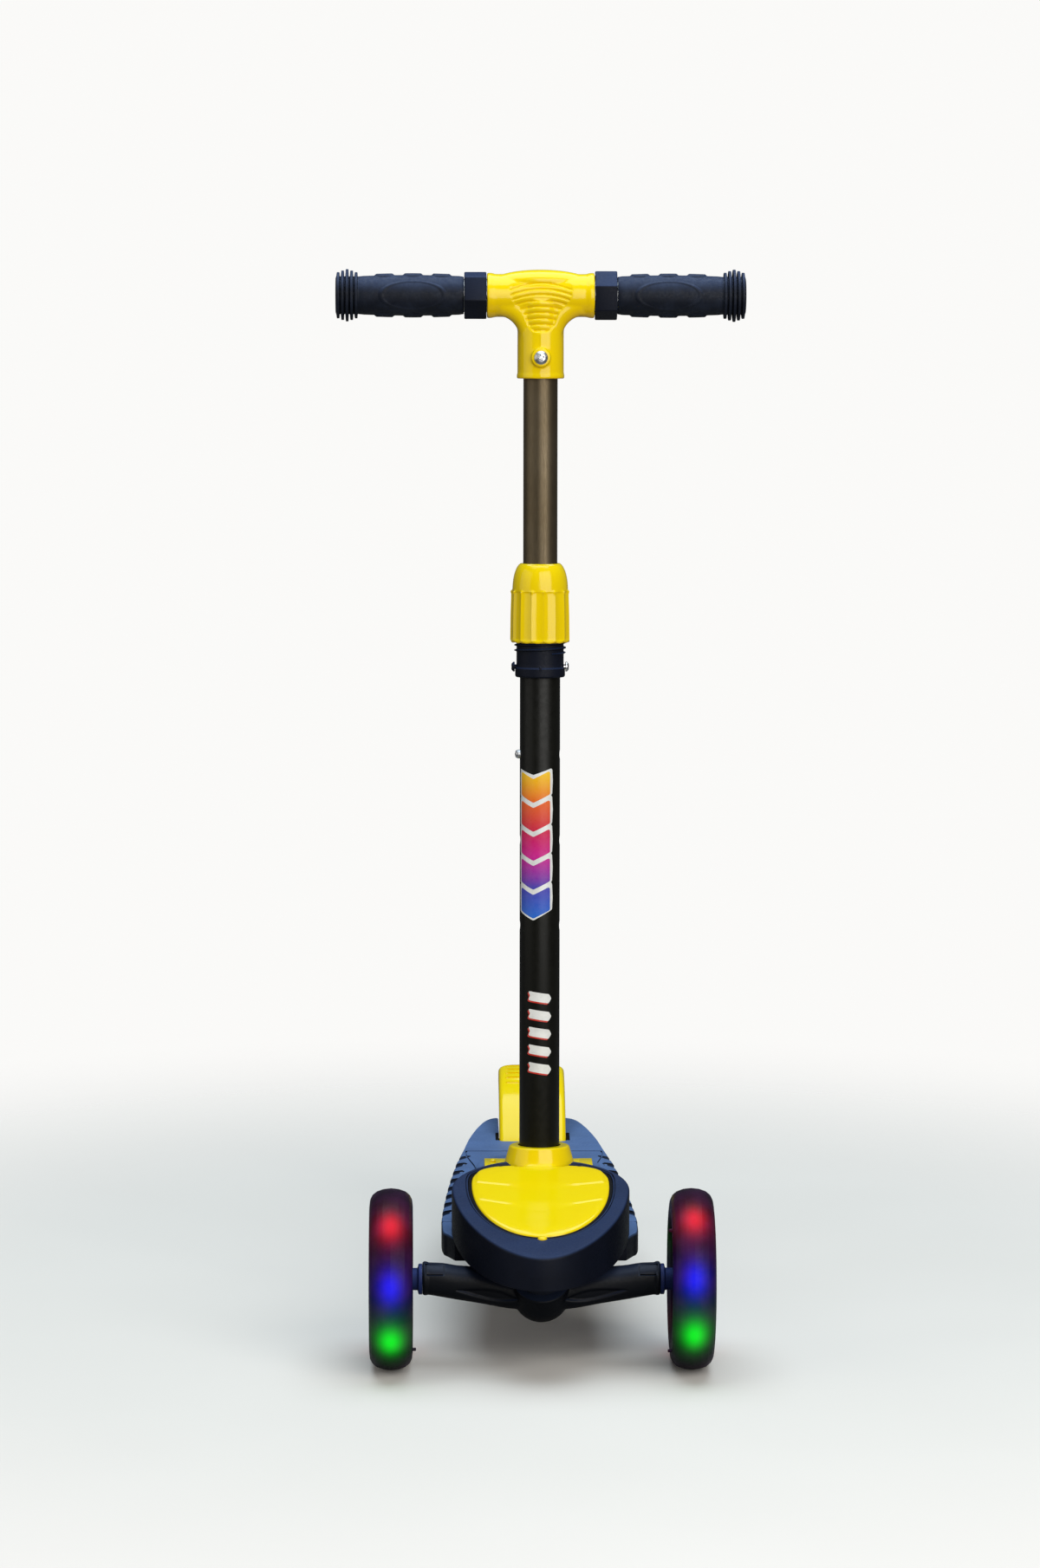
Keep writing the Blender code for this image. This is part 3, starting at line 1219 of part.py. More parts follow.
def front_axle(side_name, side):
    """The bolt that a front wheel turns on, and its spacer against the beam."""
    turn = (0, side * pi / 2, 0)
    place = (0, 0, WHEEL_RADIUS)
    face = WHEEL_CENTRE_X + CORE_HUB_HALF + SEAT_GAP
    outline = [
        (0, 0.0645),
        (AXLE_RADIUS - 0.0006, 0.0645),
        (AXLE_RADIUS, 0.0655),
        (AXLE_RADIUS, face),
        *axle_head(face),
    ]
    shape = turned(outline, closed=False, steps=SMALL_STEPS)
    bolt = new_object(f"{side_name}_axle_bolt", shape, ZINC_STEEL, FLOOR, place, turn)
    cut(bolt, drill(0.0029, face + 0.0016, face + 0.01, 6), FLOOR, place, turn)
    bore = AXLE_RADIUS + SEAT_GAP
    start = BEAM_END_X + SEAT_GAP
    end = WHEEL_CENTRE_X - CORE_HUB_HALF - SEAT_GAP
    spacer = [
        (bore, start),
        (0.0102, start),
        (0.0102, start + 0.0023),
        (0.0072, start + 0.0026),
        (0.0060, end),
        (bore, end),
    ]
    shape = turned(spacer, steps=SMALL_STEPS)
    new_object(f"{side_name}_axle_spacer", shape, CORE_PLASTIC, FLOOR, place, turn)


# Rear wheel and brake

def rear_wheel():
    place = (0, WHEELBASE, REAR_WHEEL_RADIUS)
    turn = (0, pi / 2, 0)
    section = tyre_outline(REAR_WHEEL_RADIUS, REAR_TYRE_BORE_RADIUS, REAR_WHEEL_HALF_WIDTH)
    new_object("rear_tyre", turned(section, steps=WHEEL_STEPS), SMOKY_TYRE, FLOOR, place, turn)
    core = turned(
        wheel_core_outline(REAR_TYRE_BORE_RADIUS - SEAT_GAP, 0.0080, 0.0034, REAR_HUB_HALF), steps=WHEEL_STEPS
    )
    new_object("rear_wheel_core", core, CORE_PLASTIC, FLOOR, place, turn)
    spacer_bore = AXLE_RADIUS + SEAT_GAP
    for side_name, side in SIDES:
        bearing = turned(bearing_outline(REAR_HUB_HALF), steps=SMALL_STEPS)
        new_object(f"rear_{side_name}_bearing", bearing, ZINC_STEEL, FLOOR, place, (0, side * pi / 2, 0))
        sleeve = tube(0.0060, spacer_bore, REAR_HUB_HALF + SEAT_GAP, SLOT_HALF_WIDTH - 0.0002, SMALL_STEPS)
        new_object(f"rear_{side_name}_spacer", sleeve, CORE_PLASTIC, FLOOR, place, (0, side * pi / 2, 0))
    head_face = SLOT_HALF_WIDTH + FORK_THICKNESS + SEAT_GAP
    tip = -head_face - AXLE_NUT_HEIGHT - 0.001
    outline = [
        (0, tip),
        (AXLE_RADIUS, tip),
        (AXLE_RADIUS, head_face),
        *axle_head(head_face),
    ]
    shape = turned(outline, closed=False, steps=SMALL_STEPS)
    new_object("rear_axle_bolt", shape, ZINC_STEEL, FLOOR, place, turn)
    facing_right = (0, -pi / 2, 0)
    six_sided = rod(AXLE_NUT_RADIUS, head_face, head_face + AXLE_NUT_HEIGHT, 6)
    nut = new_object("rear_axle_nut", six_sided, ZINC_STEEL, FLOOR, place, facing_right)
    cut(nut, drill(AXLE_RADIUS + SEAT_GAP, 0, 0.1, SMALL_STEPS), FLOOR, place, facing_right)


def fender_arc(radius, start_slope, end_slope, steps=12):
    """Points (y, z) of the brake plate's side view, from its front end to its rear end."""
    centre = (FENDER_MIDDLE_Y, FENDER_MIDDLE_HEIGHT)
    return arc(centre, radius, pi / 2 + start_slope, pi / 2 + end_slope, steps)


def brake_fender():
    """The yellow plate over the rear wheel, with turned-down sides, hinged at its front end."""
    inner = FENDER_ARC_RADIUS - FENDER_THICKNESS
    deep = inner - FENDER_FLANGE_DEPTH
    rise = radians(2.0)
    outline = [
        *fender_arc(FENDER_ARC_RADIUS, FENDER_START_SLOPE, FENDER_END_SLOPE),
        *reversed(fender_arc(deep, FENDER_START_SLOPE - rise, FENDER_END_SLOPE + rise)),
    ]
    plate = prism(outline, -FENDER_HALF_WIDTH, FENDER_HALF_WIDTH, across="X")
    item = new_object("brake_fender", plate, YELLOW_PLASTIC, FLOOR)
    wall = 0.0027
    hollow = [
        *fender_arc(inner, FENDER_START_SLOPE - radians(3), FENDER_END_SLOPE - radians(4)),
        *reversed(fender_arc(deep - 0.02, FENDER_START_SLOPE - radians(3), FENDER_END_SLOPE - radians(4))),
    ]
    cut(item, prism(hollow, -FENDER_HALF_WIDTH + wall, FENDER_HALF_WIDTH - wall, across="X"), FLOOR)
    barrel_half = FENDER_HALF_WIDTH + 0.0004
    join(item, rod(BRAKE_BARREL_RADIUS, -barrel_half, barrel_half, 26), BRAKE)
    cut(item, drill(BRAKE_PIN_RADIUS + SEAT_GAP, -0.03, 0.03, SMALL_STEPS), BRAKE)
    notch = BRAKE_SPRING_RADIUS + BRAKE_SPRING_WIRE + SEAT_GAP
    cut(item, drill(notch, -BRAKE_NOTCH_HALF_WIDTH, BRAKE_NOTCH_HALF_WIDTH, 16), BRAKE)
    under_pin = [
        (-0.012, -0.02),
        (0.012, -0.02),
        (0.012, 0.0062),
        (0.0028, 0.0062),
        (0.0012, 0.0002),
        (-0.012, 0.0002),
    ]
    space_half = BRAKE_NOTCH_HALF_WIDTH + 0.0003
    space = prism(under_pin, -space_half, space_half, across="X")
    cut(item, space, FLOOR, (0, BRAKE_PIN_Y, BRAKE_PIN_HEIGHT))
    foot_height = 2 * REAR_WHEEL_RADIUS + BRAKE_RIB_GAP
    rib_foot = [(WHEELBASE + BRAKE_RIB_REAR, foot_height), (WHEELBASE - BRAKE_RIB_FRONT, foot_height)]
    slopes = [
        atan2(FENDER_MIDDLE_Y - y, z - FENDER_MIDDLE_HEIGHT) for y, z in (rib_foot[0], rib_foot[-1])
    ]
    rib = [*rib_foot, *fender_arc(FENDER_ARC_RADIUS - FENDER_THICKNESS / 2, slopes[1], slopes[0], 8)]
    for number in (-1, 0, 1):
        middle = BRAKE_RIB_SPACING * number
        ends = (middle - BRAKE_RIB_THICKNESS / 2, middle + BRAKE_RIB_THICKNESS / 2)
        join(item, prism(rib, *ends, across="X"), FLOOR)
    last_groove = FENDER_END_SLOPE + radians(2.2)
    first_groove = last_groove + radians(3.4) * (FENDER_GROOVES - 1)
    half = FENDER_HALF_WIDTH - 0.007
    for y, z in fender_arc(FENDER_ARC_RADIUS + 0.0003, first_groove, last_groove, FENDER_GROOVES - 1):
        cut(item, drill(0.0011, -half, half, 8), FLOOR, (0, y, z), (0, pi / 2, 0))


def brake_parts():
    reach = SLOT_HALF_WIDTH + BRAKE_PIN_SEAT
    new_object("brake_pin", rod(BRAKE_PIN_RADIUS, -reach, reach, SMALL_STEPS), ZINC_STEEL, BRAKE)
    # The coil winds from its leg on the deck, below the pin, to its leg under the plate.
    upper_angle = radians(74)
    first = 0
    last = 3 * 2 * pi + upper_angle
    wound = coil(BRAKE_SPRING_RADIUS, -BRAKE_SPRING_HALF_LENGTH, BRAKE_SPRING_HALF_LENGTH, first, last)
    slot_front = SLOT_FRONT_Y - BRAKE_PIN_Y + BRAKE_SPRING_WIRE
    deck_leg = (BRAKE_SPRING_RADIUS, slot_front, -BRAKE_SPRING_HALF_LENGTH)
    reach_x, reach_y = -sin(last), cos(last)
    end_x, end_y, end_z = wound[-1]
    plate_leg = (end_x + reach_x * BRAKE_SPRING_LEG, end_y + reach_y * BRAKE_SPRING_LEG, end_z)
    path = [deck_leg, *wound, plate_leg]
    new_object("brake_spring", wire(path, BRAKE_SPRING_WIRE), SPRING_STEEL, BRAKE)


def main():
    tee()
    tee_screw()
    handlebar_tube()
    upper_tube()
    snap_button()
    snap_spring()
    clamp_nut()
    clamp_wedge()
    clamp_collar()
    lower_tube()
    column_socket()
    column_latch()
    latch_spring()
    front_cover()
    nose_bezel()
    deck()
    front_truck()
    pivot_parts()
    rear_wheel()
    brake_fender()
    brake_parts()
    for side_name, side in SIDES:
        bar_collar(side_name, side)
        grip(side_name, side)
        collar_screw(side_name, side)
        steering_spring(side_name, side)
        front_wheel(side_name, side)
        front_axle(side_name, side)


main()
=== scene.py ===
"""Looks of a child's three-wheel kick scooter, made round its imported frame.

Shapes are drawn in millimetres, in the frame of the part that they belong to, and a place matrix
takes each one to the frame's metres. FLOOR has its origin on the floor under the front axle,
COLUMN runs up the steering column, and BAR has its origin where the handlebar crosses it. RAKED,
STEERING and HINGE are the column, the leaning axis of the beam and the hinge of the brake plate,
all three in FLOOR's millimetres.
"""
from math import atan2, copysign, cos, exp, floor, hypot, pi, radians, sin, sqrt, tan

import bmesh
import bpy
from mathutils import Matrix, Vector


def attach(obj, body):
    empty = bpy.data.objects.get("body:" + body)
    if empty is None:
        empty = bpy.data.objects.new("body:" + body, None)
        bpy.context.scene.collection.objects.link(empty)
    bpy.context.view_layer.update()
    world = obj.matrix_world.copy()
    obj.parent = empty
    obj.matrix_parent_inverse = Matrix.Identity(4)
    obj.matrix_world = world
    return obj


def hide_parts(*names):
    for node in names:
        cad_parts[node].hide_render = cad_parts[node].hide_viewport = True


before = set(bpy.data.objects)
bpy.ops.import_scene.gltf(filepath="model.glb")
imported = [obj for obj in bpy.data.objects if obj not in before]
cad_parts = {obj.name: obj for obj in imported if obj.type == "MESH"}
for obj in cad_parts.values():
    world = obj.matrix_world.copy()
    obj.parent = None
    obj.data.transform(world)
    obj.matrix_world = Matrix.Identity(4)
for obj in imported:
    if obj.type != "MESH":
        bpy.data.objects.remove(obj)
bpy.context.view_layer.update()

SIDES = (("right", -1), ("left", 1))

# Sizes: heights on the column count from COLUMN's origin, and pairs are (y, z) in FLOOR

BAR_HEIGHT = 593.4
TEE_SCREW_HEIGHT = 552.2
COLLAR_SCREW_HEIGHT = 345.4
SNAP_HEIGHT, HOLE_PITCH = 286.6, 57.8
COLUMN_FOOT = (84.5, 110)
LOWER_TUBE = 13.5
BAR_BORE = 11.3
AXLE_BORE = 3.95
WHEEL_X, WHEEL_RADIUS = 99.5, 60
REAR_AXLE = (378.0, 45.0)
BRAKE_HINGE = (335.3, 74.3)


# Places

def shift(x, y, z):
    return Matrix.Translation((x, y, z))


def turned(angle, axis):
    return Matrix.Rotation(angle, 4, axis)


def to_side(side=1):
    """Turns Z outwards to the given side."""
    return turned(side * pi / 2, "Y")


AXLE_Y = -0.1815
RAKE = radians(4)
TO_FRONT = turned(pi / 2, "X")
RAKED = shift(0, *COLUMN_FOOT) @ turned(-RAKE, "X")
STEERING = shift(0, 0, 50) @ turned(radians(35), "X")
HINGE = shift(0, *BRAKE_HINGE) @ to_side()
FLOOR = shift(0, AXLE_Y, 0) @ Matrix.Scale(0.001, 4)
COLUMN = FLOOR @ RAKED
BAR = COLUMN @ shift(0, 0, BAR_HEIGHT)


def outwards(side, x, y, z):
    """A place on the floor whose Z axis points out to the given side, for what sits on an axle."""
    return FLOOR @ shift(x, y, z) @ to_side(side)


# Shaping

def eased(path, radius, steps=4, closed=False):
    """The path with its corners rounded. A point may carry its own radius as a third value."""
    points = []
    count = len(path)
    for i, point in enumerate(path):
        here = Vector(point[:2])
        reach = point[2] if len(point) > 2 else radius
        if not closed and i in (0, count - 1) or reach <= 0:
            points.append(tuple(here))
            continue
        before, after = Vector(path[i - 1][:2]), Vector(path[(i + 1) % count][:2])
        a, b = (before - here), (after - here)
        angle = a.angle(b, pi)
        if angle > radians(176):
            points.append(tuple(here))
            continue
        trim = min(reach / tan(angle / 2), a.length * 0.48, b.length * 0.48)
        start, end = here + a.normalized() * trim, here + b.normalized() * trim
        for k in range(steps + 1):
            t = k / steps
            points.append(tuple((1 - t) ** 2 * start + 2 * t * (1 - t) * here + t**2 * end))
    return points


def subdivided(path, pitch):
    """Points about a pitch apart along the path, without its last one."""
    points = []
    for (r0, z0), (r1, z1) in zip(path, path[1:]):
        count = max(1, round(hypot(r1 - r0, z1 - z0) / pitch))
        points += [(r0 + (r1 - r0) * k / count, z0 + (z1 - z0) * k / count) for k in range(count)]
    return points


def arc(x, y, radius, start, sweep, steps):
    """Points of an arc round (x, y), with its angles in degrees."""
    angles = [radians(start + sweep * i / steps) for i in range(steps + 1)]
    return [(x + radius * cos(a), y + radius * sin(a)) for a in angles]


def polygon(count, radius, x=0.0, y=0.0, turn=0.0):
    """Corners of a regular polygon, or points of a circle where there are many."""
    angles = [2 * pi * i / count + turn for i in range(count)]
    return [(x + radius * cos(a), y + radius * sin(a)) for a in angles]


def mirrored(points):
    """The points once more on the other side of X = 0, in reverse order."""
    return [(-x, *rest) for x, *rest in reversed(points)]


def upended(points):
    """The points of half a profile once more on the other side of Z = 0, in reverse order."""
    return [(radius, -z, *rest) for radius, z, *rest in reversed(points)]


def flat(outline, height):
    return [(x, y, height) for x, y in outline]


def smooth_through(points, steps):
    """A smooth curve through the points, with the given steps between each pair."""
    curve = []
    ends = [points[0], *points, points[-1]]
    for a, b, c, d in zip(ends, ends[1:], ends[2:], ends[3:]):
        for i in range(steps):
            t = i / steps
            curve.append(tuple(
                0.5 * (2 * q + (r - p) * t + (2 * p - 5 * q + 4 * r - s) * t**2
                       + (3 * q - p - 3 * r + s) * t**3)
                for p, q, r, s in zip(a, b, c, d)
            ))
    curve.append(points[-1])
    return curve


def spun(profile, steps=96, closed=False):
    """(radius, height) points spun round Z: a ring when closed, otherwise a body whose ends are on Z."""
    shape = bmesh.new()
    verts = [shape.verts.new((radius, 0, height)) for radius, height in profile]
    edges = [shape.edges.new(pair) for pair in zip(verts, verts[1:])]
    if closed:
        edges.append(shape.edges.new((verts[-1], verts[0])))
    bmesh.ops.spin(
        shape, geom=verts + edges, cent=(0, 0, 0), axis=(0, 0, 1), angle=2 * pi, steps=steps, use_merge=True
    )
    return cleaned(shape)


def rod(radius, low, high, steps=64, edge=0.0):
    """A round bar along Z, with its rims rounded."""
    return spun(eased([(0, low), (radius, low), (radius, high), (0, high)], edge, 3), steps)


def cleaned(shape, distance=1e-3):
    bmesh.ops.remove_doubles(shape, verts=shape.verts, dist=distance)
    bmesh.ops.recalc_face_normals(shape, faces=shape.faces)
    return shape


def rounded(shape, edges, radius, segments):
    bmesh.ops.bevel(
        shape, geom=edges, offset=radius, segments=segments, profile=0.5, affect="EDGES", material=-1
    )


def drawn(outline, low, high, edge=0.0, segments=3):
    """A flat outline in X and Y, extruded from low to high, with its rims rounded."""
    shape = bmesh.new()
    face = shape.faces.new([shape.verts.new((x, y, low)) for x, y in outline])
    made = bmesh.ops.extrude_face_region(shape, geom=[face], use_keep_orig=True)
    top = [v for v in made["geom"] if isinstance(v, bmesh.types.BMVert)]
    bmesh.ops.translate(shape, verts=top, vec=(0, 0, high - low))
    bmesh.ops.recalc_face_normals(shape, faces=shape.faces)
    for level in (high, low) if edge > 0 else ():
        rim = [e for e in shape.edges if all(abs(v.co.z - level) < 1e-4 for v in e.verts)]
        rounded(shape, rim, edge, segments)
    return shape


def sideways(outline, low, high, edge=0.0):
    """An outline of (y, z) points, extruded along X."""
    axes_passed_on = Matrix(((0, 0, 1, 0), (1, 0, 0, 0), (0, 1, 0, 0), (0, 0, 0, 1)))
    return moved(drawn(outline, low, high, edge), axes_passed_on)


def lofted(rings, closed=False):
    """Rings of points joined one to the next, with the two ends filled unless the loft is closed."""
    shape = bmesh.new()
    loops = [[shape.verts.new(point) for point in ring] for ring in rings]
    pairs = list(zip(loops, loops[1:]))
    if closed:
        pairs.append((loops[-1], loops[0]))
    for low, high in pairs:
        for i in range(len(low)):
            shape.faces.new((low[i - 1], low[i], high[i], high[i - 1]))
    if not closed:
        for loop in (loops[0], loops[-1]):
            shape.faces.new(loop)
    bmesh.ops.recalc_face_normals(shape, faces=shape.faces)
    return shape


def sized(shape, size, centre):
    bmesh.ops.transform(shape, matrix=Matrix.Diagonal((*size, 1.0)), verts=shape.verts)
    bmesh.ops.translate(shape, verts=shape.verts, vec=centre)
    return shape


def block(low, high, edge=0.0, segments=3):
    low, high = Vector(low), Vector(high)
    shape = bmesh.new()
    bmesh.ops.create_cube(shape, size=1.0)
    sized(shape, high - low, (low + high) / 2)
    if edge > 0:
        rounded(shape, shape.edges[:], edge, segments)
    return shape


def side_block(side, low, high, edge=0.0):
    """A block whose X is counted outwards on the given side."""
    near, far = sorted((side * low[0], side * high[0]))
    return block((near, *low[1:]), (far, *high[1:]), edge)


def ball(centre, reach, segments=32):
    shape = bmesh.new()
    bmesh.ops.create_uvsphere(shape, u_segments=segments, v_segments=segments // 2, radius=1.0)
    return sized(shape, reach, centre)


def moved(shape, matrix):
    bmesh.ops.transform(shape, matrix=matrix, verts=shape.verts)
    return shape


def gathered(shapes):
    """Several shapes in one, without joining their surfaces."""
    whole = bmesh.new()
    for shape in shapes:
        mesh = bpy.data.meshes.new("part")
        shape.to_mesh(mesh)
        shape.free()
        whole.from_mesh(mesh)
        bpy.data.meshes.remove(mesh)
    return whole


def held(shape, name="blank"):
    """A new object in the scene that holds the shape."""
    mesh = bpy.data.meshes.new(name)
    shape.to_mesh(mesh)
    shape.free()
    item = bpy.data.objects.new(name, mesh)
    bpy.context.scene.collection.objects.link(item)
    return item


def dropped(item):
    mesh = item.data
    bpy.data.objects.remove(item, do_unlink=True)
    bpy.data.meshes.remove(mesh)


def taken(item):
    """The shape that an object's modifiers leave, with the object removed."""
    made = item.evaluated_get(bpy.context.evaluated_depsgraph_get())
    shape = bmesh.new()
    shape.from_mesh(made.to_mesh())
    made.to_mesh_clear()
    dropped(item)
    return shape


def worked(shape, tools, operation):
    item = held(shape)
    helpers = [held(tool) for tool in tools]
    for helper in helpers:
        modifier = item.modifiers.new("work", "BOOLEAN")
        modifier.operation = operation
        modifier.solver = "EXACT"
        modifier.object = helper
    result = taken(item)
    for helper in helpers:
        dropped(helper)
    return result


def carved(shape, *tools):
    return worked(shape, tools, "DIFFERENCE")


def joined(shape, *tools):
    return worked(shape, tools, "UNION")


def softened(shape, verts, rounds, factor=0.5):
    """Draws some of a shape's points towards their neighbours."""
    for _ in range(rounds):
        bmesh.ops.smooth_vert(
            shape, verts=verts, factor=factor, use_axis_x=True, use_axis_y=True, use_axis_z=True
        )


def melted(shapes, voxel, rounds):
    """Closed shapes melted into one skin with soft inner corners, as moulded plastic has."""
    item = held(gathered(shapes))
    modifier = item.modifiers.new("melt", "REMESH")
    modifier.mode = "VOXEL"
    modifier.voxel_size = voxel
    shape = taken(item)
    softened(shape, shape.verts, rounds)
    return shape


def pushed(shape, amount):
    """Moves each point along its normal by what amount(point) says."""
    shape.normal_update()
    steps = [(v, v.normal * amount(v.co)) for v in shape.verts]
    for vert, step in steps:
        vert.co += step
    return shape


def set_radius(vert, radius):
    """Moves a point straight out or in, to a distance from Z."""
    stretch = radius / hypot(vert.co.x, vert.co.y)
    vert.co.x *= stretch
    vert.co.y *= stretch


def rise(value, start, end):
    """0 before start, 1 after end, and a smooth climb between them."""
    t = min(1.0, max(0.0, (value - start) / (end - start)))
    return t * t * (3 - 2 * t)


def bump(value, middle, half, soft):
    """1 within half of the middle, falling softly to 0."""
    return 1 - rise(abs(value - middle), half, half + soft)


def bent(value, power):
    """The value raised to a power, with its sign kept."""
    return copysign(abs(value) ** power, value)


# Pieces

def piece(name, shape, place, look, body, replaces=(), slot=None, sharp=35):
    """Puts a shape in the frame as one piece, riding its body."""
    item = held(moved(shape, place), name)
    item.data.shade_smooth()
    item.data.set_sharp_from_angle(angle=radians(sharp))
    item.data.materials.append(look.material)
    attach(item, body)
    if replaces:
        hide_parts(*replaces)


# Finishes

def times(values, factor):
    return tuple(factor * value for value in values)


class Look:
    """A Principled material with a short way to add texture nodes to it."""

    def __init__(self, name, colour, roughness, metallic=0.0, **sockets):
        self.material = bpy.data.materials.new(name)
        self.material.use_nodes = True
        self.tree = self.material.node_tree
        self.shader = self.tree.nodes["Principled BSDF"]
        self.shader.inputs["Base Color"].default_value = (*colour, 1.0)
        self.shader.inputs["Roughness"].default_value = roughness
        self.shader.inputs["Metallic"].default_value = metallic
        for socket, value in sockets.items():
            self.shader.inputs[socket.replace("_", " ")].default_value = value
        self.place = self.node("ShaderNodeTexCoord").outputs["Object"]
        self.height = None

    def node(self, kind, links=(), **values):
        item = self.tree.nodes.new(kind)
        for key, value in values.items():
            setattr(item, key, value)
        for socket, value in dict(links).items():
            self.feed(item.inputs[socket], value)
        return item

    def feed(self, socket, value):
        if isinstance(value, bpy.types.NodeSocket):
            self.tree.links.new(value, socket)
        elif isinstance(value, (tuple, list)) and len(value) == 3 and socket.type == "RGBA":
            socket.default_value = (*value, 1.0)
        else:
            socket.default_value = value

    def noise(self, scale, detail=3.0, roughness=0.55, stretch=(1, 1, 1)):
        place = self.node(
            "ShaderNodeMapping", {"Vector": self.place, "Scale": times(stretch, scale)}
        ).outputs["Vector"]
        return self.node(
            "ShaderNodeTexNoise", {"Vector": place, "Scale": 1.0, "Detail": detail, "Roughness": roughness}
        ).outputs["Fac"]

    def maths(self, operation, a, b=0.0):
        item = self.node("ShaderNodeMath", operation=operation)
        for socket, value in zip(item.inputs, (a, b)):
            self.feed(socket, value)
        return item.outputs[0]

    def span(self, value, low, high, out_low=0.0, out_high=1.0, smooth=True):
        kind = "SMOOTHSTEP" if smooth else "LINEAR"
        return self.node(
            "ShaderNodeMapRange",
            {"Value": value, "From Min": low, "From Max": high, "To Min": out_low, "To Max": out_high},
            interpolation_type=kind,
        ).outputs["Result"]

    def mix(self, share, a, b, kind="MIX"):
        item = self.node("ShaderNodeMix", data_type="RGBA", blend_type=kind)
        self.feed(item.inputs["Factor"], share)
        self.feed(item.inputs[6], a)
        self.feed(item.inputs[7], b)
        return item.outputs[2]

    def colour(self, value):
        self.feed(self.shader.inputs["Base Color"], value)

    def roughness(self, pattern, low, high, smoothest, roughest):
        self.feed(self.shader.inputs["Roughness"], self.span(pattern, low, high, smoothest, roughest))

    def relief(self, height, distance, strength=1.0):
        """Bumps of the given height in metres, on top of those before."""
        links = {"Height": height, "Distance": distance, "Strength": strength}
        if self.height:
            links["Normal"] = self.height
        self.height = self.node("ShaderNodeBump", links).outputs["Normal"]
        self.feed(self.shader.inputs["Normal"], self.height)

    def axes(self, at=None):
        return self.node("ShaderNodeSeparateXYZ", {"Vector": at or self.place}).outputs

    def upward(self):
        """How far the surface faces up, from -1 to 1."""
        return self.axes(self.node("ShaderNodeTexCoord").outputs["Normal"])[2]

    def length(self, a, b):
        """The length of a flat vector."""
        squares = [self.maths("MULTIPLY", value, value) for value in (a, b)]
        return self.maths("SQRT", self.maths("ADD", *squares))


def glossy_yellow():
    """Injection-moulded yellow, glossy, with faint flow waves and handling marks, and painted shade: more
    orange where it faces down, paler where it faces up.
    """
    even = (0.86, 0.62, 0.0)
    look = Look("glossy_yellow", even, 0.18, Specular_IOR_Level=0.30, Coat_Weight=0.1, Coat_Roughness=0.08)
    # Painted shade and light: orange on down-facing faces, paler yellow on up-facing faces.
    painted_light_ramp = look.span(look.upward(), -0.8, 0.9, smooth=False)
    flow = look.span(look.noise(26, 3), 0.35, 0.70, 0.0, 0.5)
    look.colour(look.mix(flow, look.mix(painted_light_ramp, (0.89, 0.55, 0.0), (0.85, 0.66, 0.0004)), even))
    look.roughness(look.noise(420, 5, 0.7, (1, 1, 0.16)), 0.45, 0.75, 0.12, 0.27)
    look.relief(look.noise(160, 2), 0.00012, 0.22)
    look.relief(look.noise(2600, 2), 0.00002, 0.25)
    return look


def grained(name, dark, pale, grain, sheen):
    """Fine-grained moulded plastic with painted sheen: paler where it faces up, a painted reflection of the
    light from above.
    """
    look = Look(name, dark, sheen, Specular_IOR_Level=0.14)
    patches = look.span(look.noise(38, 4, 0.6), 0.32, 0.72)
    below = look.mix(look.maths("MULTIPLY", patches, 0.35), dark, times(dark, 2.1))
    # Painted sheen: the pale colour on up-facing faces stands in for the light that they reflect from above.
    above = look.mix(look.maths("MULTIPLY", patches, 0.4), pale, times(pale, 1.5))
    look.colour(look.mix(look.span(look.upward(), 0.15, 0.93), below, above))
    look.roughness(look.noise(700, 4, 0.65), 0.3, 0.75, sheen - 0.07, sheen + 0.13)
    look.relief(look.noise(grain, 2, 0.6), 0.00008, 0.55)
    look.relief(look.noise(90, 2), 0.00025, 0.15)
    return look


def rubber():
    look = Look("grip_rubber", (0.008, 0.011, 0.022), 0.55, Specular_IOR_Level=0.17)
    worn = look.span(look.noise(85, 5, 0.65), 0.38, 0.72)
    below = look.mix(worn, (0.0045, 0.0065, 0.0130), (0.0100, 0.0140, 0.0260))
    # Painted sheen: the grip turns paler and bluer where it faces up, standing in for light from above.
    above = look.mix(worn, (0.018, 0.030, 0.072), (0.026, 0.042, 0.095))
    look.colour(look.mix(look.span(look.upward(), 0.1, 0.95), below, above))
    look.roughness(look.noise(520, 4), 0.3, 0.7, 0.44, 0.66)
    look.relief(look.noise(2200, 2), 0.00006, 0.5)
    return look


def painted_tube():
    """Satin black paint with orange peel and specks of dust."""
    look = Look("satin_black_tube", (0.004, 0.004, 0.003), 0.36, Specular_IOR_Level=0.2)
    specks = look.span(look.noise(900, 2, 0.5), 0.76, 0.80)
    paint = look.mix(look.noise(30), (0.0030, 0.0030, 0.0024), (0.0060, 0.0058, 0.0036))
    look.colour(look.mix(specks, paint, (0.05, 0.05, 0.04)))
    look.roughness(look.noise(260, 4), 0.3, 0.7, 0.32, 0.44)
    look.relief(look.noise(750, 2), 0.00004, 0.35)
    return look


def column_metal():
    """Warm grey satin metal, drawn along the column."""
    look = Look("gunmetal_tube", (0.14, 0.105, 0.065), 0.44, 0.92, Specular_IOR_Level=0.5)
    drawn_lines = look.noise(1, 4, 0.6, (2600, 2600, 16))
    tone = look.mix(look.span(look.noise(24, 3), 0.3, 0.7), (0.120, 0.090, 0.052), (0.150, 0.117, 0.074))
    look.colour(look.mix(look.maths("MULTIPLY", drawn_lines, 0.35), tone, (0.10, 0.075, 0.045)))
    look.roughness(drawn_lines, 0.3, 0.7, 0.38, 0.54)
    look.relief(drawn_lines, 0.00002, 0.5)
    return look


